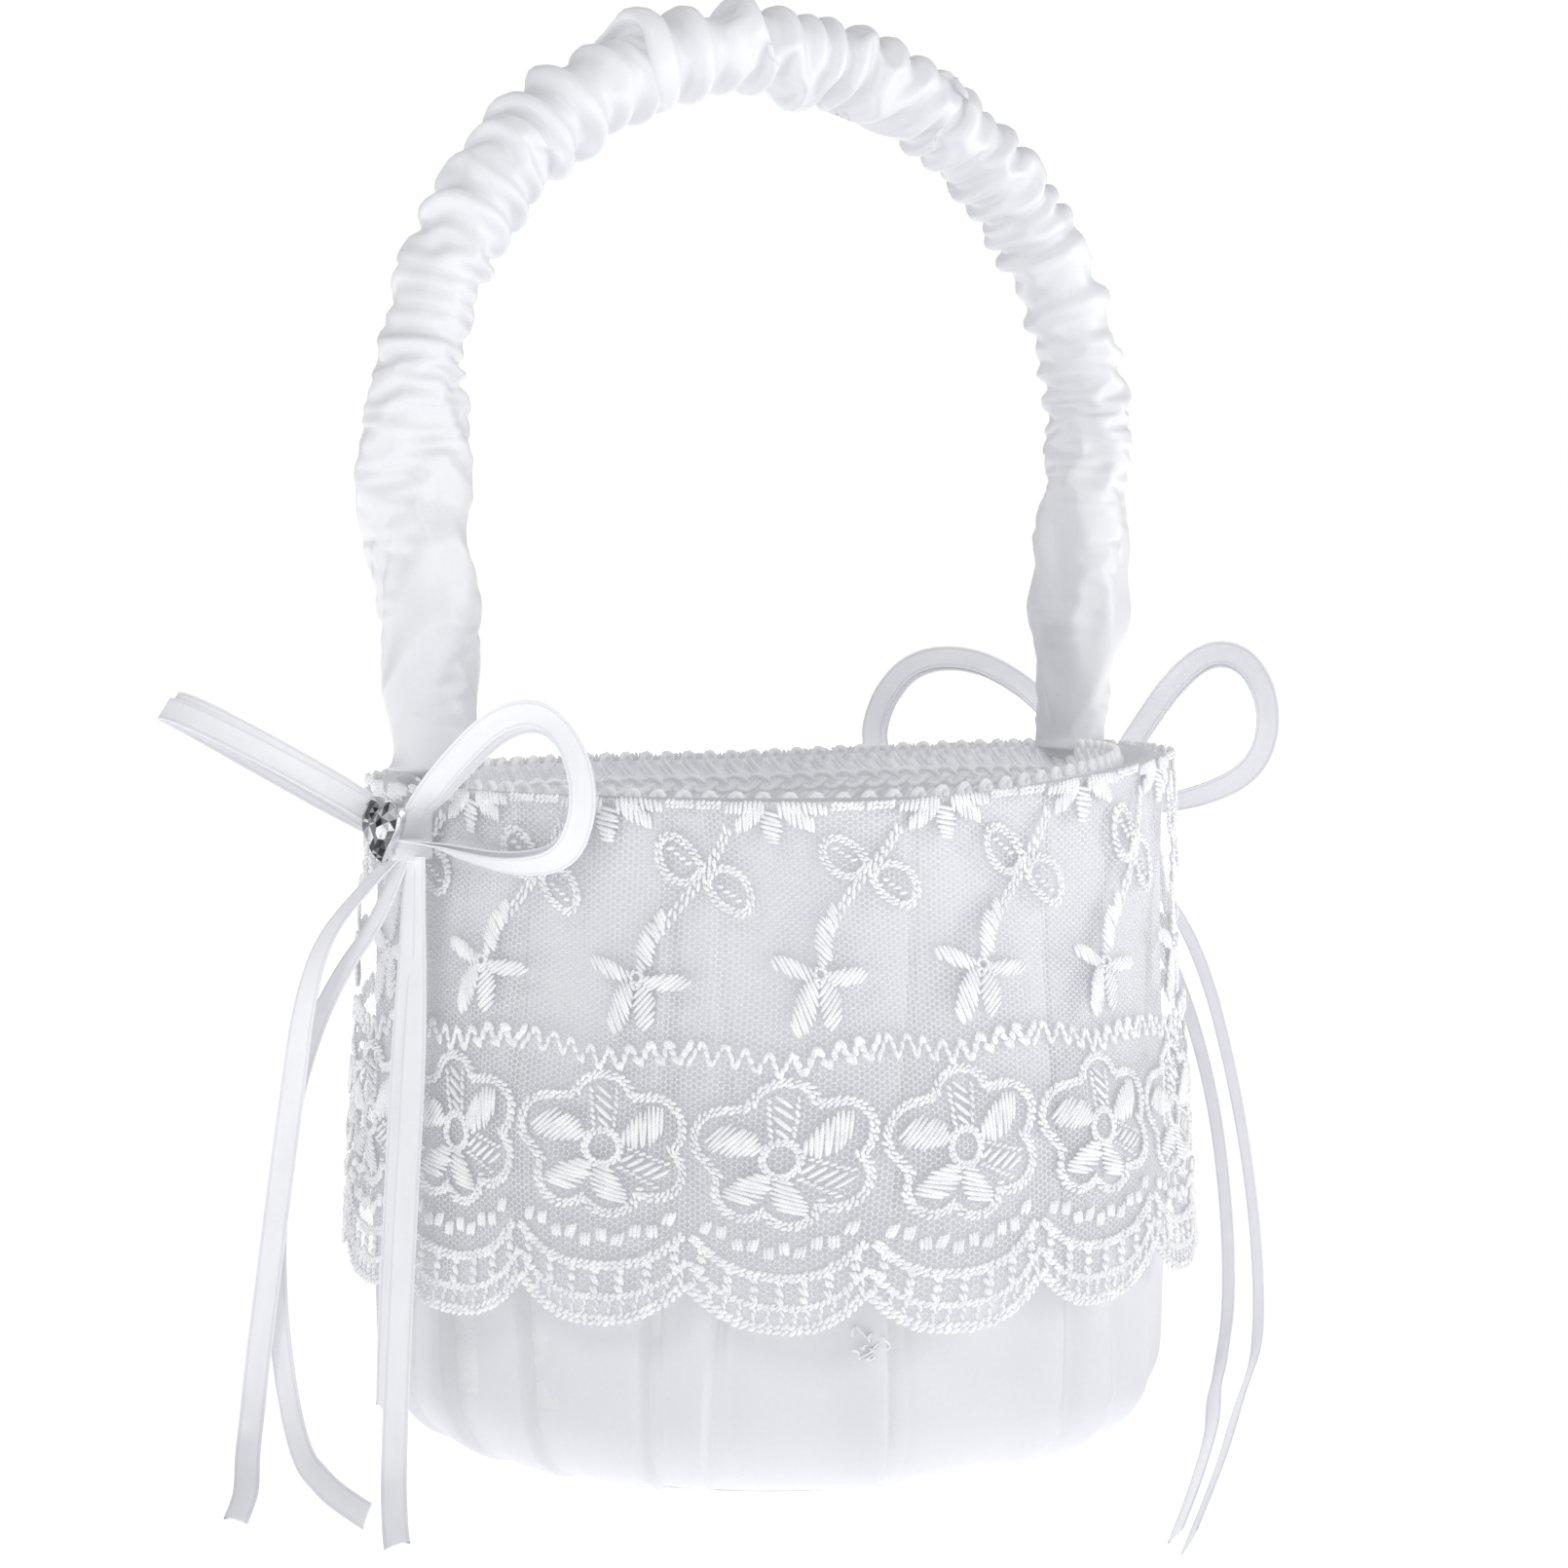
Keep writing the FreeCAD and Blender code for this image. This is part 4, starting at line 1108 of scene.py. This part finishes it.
# Braid drawn flat: x round the rim, y towards the basket's middle, z up, all in millimetres.
def makeGimp():
    pitch = 2 * math.pi * gimp["radius"] / gimp["units"]
    scroll = [(-0.9, 0.0, -0.2), (0.6, 0.25, 0.9), (2.4, 0.5, 2.2), (4.6, 0.75, 4.2), (5.6, 0.9, 5.9),
              (4.6, 0.9, 6.9), (3.2, 0.7, 6.3), (3.2, 0.5, 4.9), (4.4, 0.25, 4.3), (5.4, 0.0, 4.9)]
    arc = [(-0.6, 0.3, -0.5), (0.9, 0.75, 0.8), (2.6, 0.95, 1.6), (4.4, 0.8, 1.7), (6.0, 0.3, 0.6),
           (6.6, 0.0, -0.2)]
    allPoints, allFaces, allUvs = [], [], []

    def add(route, shift, flip, radius):
        flat = np.array([(x * 0.78, y, z * 0.86 * flip) for x, y, z in route])
        line = routeLine([tuple(point * mm) for point in flat], 0.62 * mm) / mm
        points, faces, uvs = cordTube(line, radius, gimp["sides"])
        for index in range(gimp["units"]):
            turn = (points[:, 0] + shift + index * pitch) / gimp["radius"]
            radial = gimp["radius"] - points[:, 1]
            ring = np.stack([radial * np.cos(turn), radial * np.sin(turn),
                             points[:, 2] + gimp["middle"]], axis=1)
            joinPart(allPoints, allFaces, allUvs, (ring * mm, faces, uvs))

    for flip, shift in ((1, 0.0), (-1, pitch / 2)):
        add(scroll, shift, flip, gimp["cord"])
        add([(x + 0.95, y + 0.05, z * 0.93 - 0.55) for x, y, z in scroll[:5]], shift, flip, 0.42)
        add(arc, shift, flip, 0.56)
    # the woven tape behind the cords
    tapeColumns = 264
    tapeHeights = (98.6, 101.8, 105.0, 108.2)
    turns = np.arange(tapeColumns) * 2 * math.pi / tapeColumns
    base = sum(len(part) for part in allPoints)
    for height in tapeHeights:
        radius = (gimp["radius"] + 0.35) * mm
        allPoints.append(np.stack([radius * np.cos(turns), radius * np.sin(turns),
                                   np.full(tapeColumns, height * mm)], axis=1))
        allUvs.extend([(turn * 45, height) for turn in turns])
    allFaces.extend(tuple(base + corner for corner in face)
                    for face in gridFaces(len(tapeHeights), tapeColumns, True, flip=True))
    points = np.concatenate(allPoints)
    points[:, 2] += rimRise(points) * 0.9
    piece = meshPiece("gimp_braid_cords", points, allFaces, allUvs)
    faceOutward(piece)
    braidThread.onto(piece)
    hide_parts("gimp_braid")
    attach(piece, "basket")
    print("gimp faces", len(allFaces))


makeGimp()


# ---- lining and padded floor ----

def makeLining():
    columns, rows = 300, 26
    angles = np.arange(columns) * 2 * math.pi / columns
    points, uvs = [], []
    for height in np.linspace(11.6, 108.4, rows):
        pleat = (0.35 * np.sin(angles * 31 + 1.2 * np.sin(angles * 5))
                 + 0.2 * np.sin(angles * 12 + height / 30))
        radius = 59.9 - 0.25 - np.abs(pleat) * (0.3 + 0.7 * math.sin(math.pi * (height - 11) / 98))
        points.append(np.stack([radius * np.cos(angles), radius * np.sin(angles),
                                np.full(columns, height)], axis=-1))
        uvs.append(np.stack([angles * 60, np.full(columns, height)], axis=-1))
    piece = meshPiece("lining_wall_satin", np.array(points) * mm,
                      gridFaces(rows, columns, True, flip=True), uvs)
    liningSatin.onto(piece)
    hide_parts("lining_wall")
    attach(piece, "basket")


def makeFloorPad():
    radius, low, high = 58.9, 11.4, 17.3
    columns = 160
    angles = np.arange(columns) * 2 * math.pi / columns
    profile = [(0.5, low), (30, low), (56.5, low), (58.4, low + 0.5), (radius, low + 1.8),
               (radius, low + 3.2), (58.2, high - 1.4), (56.6, high - 0.6), (53.5, high - 0.1),
               (49, high + 0.25), (43, high + 0.5), (36, high + 0.7), (28, high + 0.9), (20, high + 1.0),
               (12, high + 1.05), (5, high + 1.1), (0.5, high + 1.1)]
    points = []
    for r, z in profile:
        ring = []
        for angle in angles:
            wave = noise.noise(Vector((math.cos(angle) * r / 12, math.sin(angle) * r / 12, 4.2)))
            gather = (0.25 * math.sin(angle * 46 + 2 * math.sin(angle * 3))
                      * math.exp(-((r - 55) / 4.5) ** 2))
            lift = (wave * 0.55 * min(1, (radius - r) / 8) + gather) if z > high - 2 else 0
            ring.append((r * math.cos(angle), r * math.sin(angle), z + lift))
        points.append(ring)
    faces = gridFaces(len(profile), columns, True)
    faces.append(tuple(range(columns))[::-1])
    faces.append(tuple((len(profile) - 1) * columns + index for index in range(columns)))
    piece = meshPiece("floor_pad", np.array(points) * mm, faces)
    liningSatin.onto(piece)
    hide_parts("floor_satin")
    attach(piece, "basket")


makeLining()
makeFloorPad()
print("lining and floor made")


# ---- bows ----

bowRibbon = {"width": 4.0 * mm, "thick": 0.28 * mm, "across": 9, "spacing": 1.2 * mm, "cup": 0.1 * mm}
# A half twist: places along a loop, and the turn of the ribbon's width there in degrees.
twistPlaces = (0.0, 0.1, 0.3, 0.5, 0.7, 0.9, 1.0)
twistTurns = (0, 50, 74, 112, 130, 152, 180)
# For each outer loop, its share of that twist, how far the inner loop stays inside the outer
# one, how far it lies beside it, and control points in millimetres from the knot out and back.
bowLoops = {
    "left_bow_front_loop": (1, 0.10, 2.4, [
        (-71.6, -11.4, 103.4), (-70.8, -14.6, 106.6), (-68.2, -22.5, 114.0), (-65.0, -31.0, 120.6),
        (-61.0, -38.5, 121.8), (-58.0, -43.4, 116.0), (-57.0, -44.6, 107.5), (-58.6, -41.6, 99.4),
        (-63.2, -32.0, 97.6), (-68.0, -20.5, 99.4), (-71.6, -11.6, 101.2)]),
    "left_bow_back_loop": (0, 0.03, 1.5, [
        (-72.8, -7.2, 103.8), (-76.5, -5.0, 106.4), (-84.5, 1.5, 111.8), (-92.0, 10.5, 117.0),
        (-97.6, 18.2, 120.6), (-98.8, 23.6, 121.0), (-95.2, 25.0, 119.4), (-89.0, 17.8, 114.8),
        (-81.5, 8.2, 109.0), (-75.5, -0.5, 104.4), (-72.6, -5.4, 102.4)]),
    "right_bow_front_loop": (0.94, 0.035, 0.7, [
        (72.2, 5.8, 103.4), (74.6, 5.0, 107.2), (78.4, 2.6, 114.6), (80.6, -5.0, 124.0),
        (82.4, -14.0, 129.4), (84.2, -23.0, 127.0), (84.6, -28.0, 117.6), (83.0, -25.4, 108.0),
        (79.6, -13.0, 102.6), (75.4, 0.0, 100.6), (72.4, 5.6, 101.2)]),
    "right_bow_back_loop": (1, 0.035, 0.7, [
        (71.4, 12.6, 103.2), (73.0, 15.6, 107.6), (75.2, 22.6, 115.0), (73.2, 33.0, 122.4),
        (68.2, 43.6, 127.2), (60.8, 51.6, 126.4), (55.4, 55.0, 119.0), (53.4, 55.6, 109.6),
        (57.6, 50.4, 101.8), (65.4, 33.4, 100.2), (71.6, 12.8, 101.0)]),
}


def makeBowLoops():
    for name, (twist, shrink, beside, route) in bowLoops.items():
        base = np.array(route)
        middle = base.mean(0)
        _, _, axes = np.linalg.svd(base - middle)
        plane = axes[2] * np.sign(axes[2][0] or 1)
        for layer in ("outer", "inner"):
            points = base.copy()
            if layer == "inner":
                away = np.linspace(0, 1, len(points))
                weight = np.sin(math.pi * away)[:, None] ** 0.6
                points = points + (middle - points) * shrink * weight + plane * beside * weight
            line = routeLine([tuple(point * mm) for point in points], bowRibbon["spacing"])
            share = np.linspace(0, 1, len(line))
            tilt = -np.radians(np.interp(share, twistPlaces, twistTurns)) * twist
            ahead = unit(np.gradient(line, axis=0))
            across = np.cross(ahead, plane)
            sides = plane * np.cos(tilt)[:, None] + across * np.sin(tilt)[:, None]
            piece = ribbonStrip(f"{name}_{layer}_ribbon", line, sides, bowRibbon)
            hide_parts(f"{name}_{layer}")
            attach(piece, "basket")


makeBowLoops()


def bowPlace(side):
    turn = bowTurn if side == "right" else math.pi + bowTurn
    outward = Vector((math.cos(turn), math.sin(turn), 0))
    along = Vector((-math.sin(turn), math.cos(turn), 0))
    return outward, along


# Moves a piece drawn with x along the bow, y up and z outward to its place on the basket.
def ontoBow(piece, side, distance, height):
    outward, along = bowPlace(side)
    up = Vector((0, 0, 1))
    for vertex in piece.data.vertices:
        x, y, z = vertex.co
        vertex.co = along * x + up * (y + height * mm) + outward * (z + distance * mm)
    piece.data.update()


# The wrap's size, and its place in millimetres: its inner face and its middle height.
wrapShape = {"width": 5.4 * mm, "tall": 7.8 * mm, "deep": 6.3 * mm, "near": 67.6, "up": 101.8}


# The ribbon wound over the middle of a bow: a soft block with the folds of the wound ribbon pressed
# into it.
def makeWrap(side):
    deselectAll()
    bpy.ops.mesh.primitive_cube_add(size=1)
    piece = bpy.context.object
    piece.name = f"{side}_bow_wrap_ribbon"
    piece.scale = (wrapShape["width"], wrapShape["tall"], wrapShape["deep"])
    piece.location = (0, 0, wrapShape["deep"] / 2)
    bpy.ops.object.transform_apply(location=True, scale=True)
    bpy.ops.object.mode_set(mode="EDIT")
    bpy.ops.mesh.select_all(action="SELECT")
    bpy.ops.mesh.subdivide(number_cuts=3)
    bpy.ops.mesh.bevel(offset=0.3 * mm, segments=1, affect="EDGES")
    bpy.ops.object.mode_set(mode="OBJECT")
    applyModifier(piece, "BEVEL", width=0.9 * mm, segments=2, limit_method="ANGLE",
                  angle_limit=math.radians(50))
    rounded(piece)
    for vertex in piece.data.vertices:
        x, y, z = vertex.co
        fold = 0.32 * mm * math.cos(x / (0.95 * mm) * math.pi + 0.9 * math.sin(y / (3 * mm)))
        outside = max(abs(y) / (wrapShape["tall"] / 2), z / wrapShape["deep"])
        if outside > 0.7:
            vertex.co.z += fold * (0.3 + 0.7 * z / wrapShape["deep"])
            vertex.co.y += math.copysign(fold, y) * 0.6
        pinch = 1 - 0.12 * math.cos(y / wrapShape["tall"] * math.pi)
        vertex.co.x *= pinch
    ontoBow(piece, side, wrapShape["near"], wrapShape["up"])
    makeActive(piece)
    bpy.ops.object.shade_smooth()
    layer = piece.data.uv_layers[0] if piece.data.uv_layers else piece.data.uv_layers.new(name="cloth")
    layer.name = "cloth"
    outward, along = bowPlace(side)
    for loop in piece.data.loops:
        place = piece.data.vertices[loop.vertex_index].co
        layer.data[loop.index].uv = (place.z / mm, place.dot(along) / mm * 0.7)
    ribbonSatin.onto(piece)
    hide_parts(f"{side}_bow_wrap")
    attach(piece, "basket")


# ---- heart stones ----

stone = {
    "width": 9.4 * mm, "girdle": 0.8 * mm, "crown": 2.1 * mm, "corners": 22,
    "steps": ((0.84, 0.42), (0.66, 0.36), (0.46, 0.22)),   # size and share of the crown's height
    "out": 74.85, "setOut": 74.15, "up": 102.4,            # places of stone and setting in mm
}


# A point on the heart's outline, with its tip down.
def heartPoint(share, width):
    turn = share * 2 * math.pi
    x = 16 * math.sin(turn) ** 3
    y = 13 * math.cos(turn) - 5 * math.cos(2 * turn) - 2 * math.cos(3 * turn) - math.cos(4 * turn)
    return x / 32 * width, (y + 2.4) / 29 * width * 1.04


def heartDisc(name, width):
    deselectAll()
    bpy.ops.mesh.primitive_circle_add(vertices=stone["corners"], radius=width / 2, fill_type="NGON")
    piece = bpy.context.object
    piece.name = name
    for index, vertex in enumerate(piece.data.vertices):
        vertex.co = (*heartPoint((index + 0.5) / stone["corners"], width), 0.0)
    return piece


def makeStone(side):
    piece = heartDisc(f"{side}_gem_facets", stone["width"])
    bpy.ops.object.mode_set(mode="EDIT")
    bpy.ops.mesh.select_all(action="SELECT")
    bpy.ops.mesh.extrude_region_move(TRANSFORM_OT_translate={"value": (0, 0, stone["girdle"])})
    last = 1.0
    for share, rise in stone["steps"]:
        bpy.ops.mesh.extrude_region_move(TRANSFORM_OT_translate={"value": (0, 0, stone["crown"] * rise)})
        bpy.ops.transform.resize(value=(share / last, share / last, 1),
                                 center_override=(0, -0.4 * mm, 0))
        last = share
    bpy.ops.mesh.select_all(action="SELECT")
    bpy.ops.mesh.quads_convert_to_tris(quad_method="BEAUTY", ngon_method="BEAUTY")
    bpy.ops.mesh.normals_make_consistent(inside=False)
    bpy.ops.object.mode_set(mode="OBJECT")
    # Each facet's colour is a painted reflection: a random tone, with the facets on one side painted
    # brighter.
    shades = random.Random(3)
    layer = piece.data.attributes.new("facetPaintedReflection", "FLOAT", "FACE")
    for polygon in piece.data.polygons:
        lean = 0.5 - polygon.center.x / stone["width"] * 0.9
        shade = shades.random() * 0.75 + (0.5 - lean) * 0.6 + 0.05
        layer.data[polygon.index].value = min(1, max(0, shade))
    ontoBow(piece, side, stone["out"], stone["up"])
    gemGlass.onto(piece)
    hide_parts(f"{side}_gem")
    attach(piece, "basket")

    cup = heartDisc(f"{side}_gem_setting_cup", stone["width"] * 1.09)
    bpy.ops.object.mode_set(mode="EDIT")
    bpy.ops.mesh.select_all(action="SELECT")
    bpy.ops.mesh.extrude_region_move(TRANSFORM_OT_translate={"value": (0, 0, 1.5 * mm)})
    bpy.ops.mesh.inset(thickness=0.42 * mm)
    bpy.ops.mesh.extrude_region_move(TRANSFORM_OT_translate={"value": (0, 0, -0.9 * mm)})
    bpy.ops.mesh.select_all(action="SELECT")
    bpy.ops.mesh.normals_make_consistent(inside=False)
    bpy.ops.object.mode_set(mode="OBJECT")
    applyModifier(cup, "BEVEL", width=0.12 * mm, segments=2, limit_method="ANGLE",
                  angle_limit=math.radians(40))
    makeActive(cup)
    bpy.ops.object.shade_smooth_by_angle(angle=math.radians(35))
    ontoBow(cup, side, stone["setOut"], stone["up"])
    silver.onto(cup)
    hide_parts(f"{side}_gem_setting")
    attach(cup, "basket")


# Foil-backed glass: each facet's colour is a painted reflection, from black through grey to bright.
def gemFinish():
    graph = Graph("gemGlass", roughness=0.06, Metallic=0.75, Coat_Weight=1.0, Coat_Roughness=0.02)
    paintedReflectionNode = graph.node("ShaderNodeAttribute", {"attribute_name": "facetPaintedReflection"}, {})
    tone = Wire(graph, paintedReflectionNode.outputs["Fac"])
    # depth varies the painted reflections a little within each facet.
    depth = graph.noise(graph.objectPlace(), 900.0, 1.0)
    ramp = graph.node("ShaderNodeValToRGB", {}, {0: tone + (depth - 0.5) * 0.25})
    stops = ramp.color_ramp.elements
    stops[0].position, stops[0].color = 0.30, (0.004, 0.004, 0.006, 1)
    stops[1].position, stops[1].color = 0.95, (0.92, 0.93, 0.95, 1)
    for place, colour in ((0.48, (0.05, 0.05, 0.06, 1)), (0.66, (0.32, 0.33, 0.35, 1))):
        stop = stops.new(place)
        stop.color = colour
    graph.colour(ramp.outputs[0])
    graph.rough(depth * 0.06 + 0.03)
    return graph


gemGlass = gemFinish()
for bowSide in ("left", "right"):
    makeWrap(bowSide)
    makeStone(bowSide)
print("bows made")


# ---- a loose scrap of thread under the hem ----

def makeScrap():
    angle = front + math.radians(13.0)
    radius = 66.6
    outward = np.array([math.cos(angle), math.sin(angle), 0])
    along = np.array([-math.sin(angle), math.cos(angle), 0])
    allPoints, allFaces, allUvs = [], [], []
    shades = random.Random(11)
    for index in range(9):
        start = np.array([shades.uniform(-1.6, 1.6), shades.uniform(-2.0, 2.0)])
        route = []
        for step in range(5):
            route.append(outward * (radius + 0.5 + 0.5 * shades.random()) + along * start[0]
                         + np.array([0, 0, 26.0 + start[1]]))
            start = start + np.array([shades.uniform(-1.4, 1.4), shades.uniform(-1.3, 1.3)])
        line = routeLine([tuple(point * mm) for point in route], 0.5 * mm)
        points, faces, uvs = cordTube(line, 0.2 * mm, 5)
        joinPart(allPoints, allFaces, allUvs, (points, faces, uvs))
    piece = meshPiece("hem_thread_scrap", np.concatenate(allPoints), allFaces, allUvs)
    laceThread.onto(piece)
    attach(piece, "basket")


makeScrap()


# ---- finishes of the parts that keep their shape ----

def nodeObject(name):
    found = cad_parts[name]
    return found if hasattr(found, "data") else bpy.data.objects[found]


for finish, names in (
        (satin, ["bottom_disc"]),
        (fleece, ["base_wadding", "wall_wadding", "handle_wadding", "floor_wadding"]),
        (card, ["base_board", "wall_board", "floor_board"]),
        (corePlastic, ["handle_core"]),
        (steel, ["handle_staples"]),
        (sewingThread, ["left_bow_stitches", "right_bow_stitches"])):
    for nodeName in names:
        finish.onto(nodeObject(nodeName))


# ---- floor and light ----

def addFloor():
    deselectAll()
    bpy.ops.mesh.primitive_plane_add(size=6)
    floor = bpy.context.object
    floor.name = "floor"
    graph = Graph("floorPaint", roughness=0.8, Specular_IOR_Level=0.1, Emission_Strength=1.0)
    drift = graph.noise(graph.objectPlace(), 3.0, 2.0)
    graph.colour(graph.blend(drift, (0.93, 0.93, 0.935), (0.95, 0.95, 0.955)))
    x, y, _ = graph.split(graph.objectPlace())
    away = (x * x + y * y).between(0.03, 0.35)
    graph.feed(graph.surface.inputs["Emission Color"], graph.blend(away, (0.52, 0.52, 0.52), (1, 1, 1)))
    graph.onto(floor)


def addArea(name, place, size, power, aim=(0, 0, 0.12)):
    lamp = bpy.data.lights.new(name, "AREA")
    lamp.size = size
    lamp.energy = power
    holder = bpy.data.objects.new(name, lamp)
    scene.collection.objects.link(holder)
    holder.location = place
    holder.rotation_mode = "QUATERNION"
    holder.rotation_quaternion = (Vector(aim) - Vector(place)).to_track_quat("-Z", "Y")


def addWorld(strength, backdrop):
    world = bpy.data.worlds.new("studio")
    world.use_nodes = True
    tree = world.node_tree
    light = tree.nodes["Background"]
    light.inputs[0].default_value = (0.97, 0.98, 1.0, 1)
    light.inputs[1].default_value = strength
    seen = tree.nodes.new("ShaderNodeBackground")
    seen.inputs[0].default_value = (1, 1, 1, 1)
    seen.inputs[1].default_value = backdrop
    path = tree.nodes.new("ShaderNodeLightPath")
    mix = tree.nodes.new("ShaderNodeMixShader")
    tree.links.new(path.outputs["Is Camera Ray"], mix.inputs[0])
    tree.links.new(light.outputs[0], mix.inputs[1])
    tree.links.new(seen.outputs[0], mix.inputs[2])
    tree.links.new(mix.outputs[0], tree.nodes["World Output"].inputs[0])
    scene.world = world


addFloor()
addArea("key", (-0.85, -0.55, 0.85), 0.38, 2.3)
addArea("fill", (0.75, -0.85, 0.40), 0.60, 3.4)
addArea("top", (0.05, 0.25, 1.10), 0.50, 0.6)
addWorld(0.47, 1.0)
scene.view_settings.view_transform = "Standard"
print("floor and lights made")
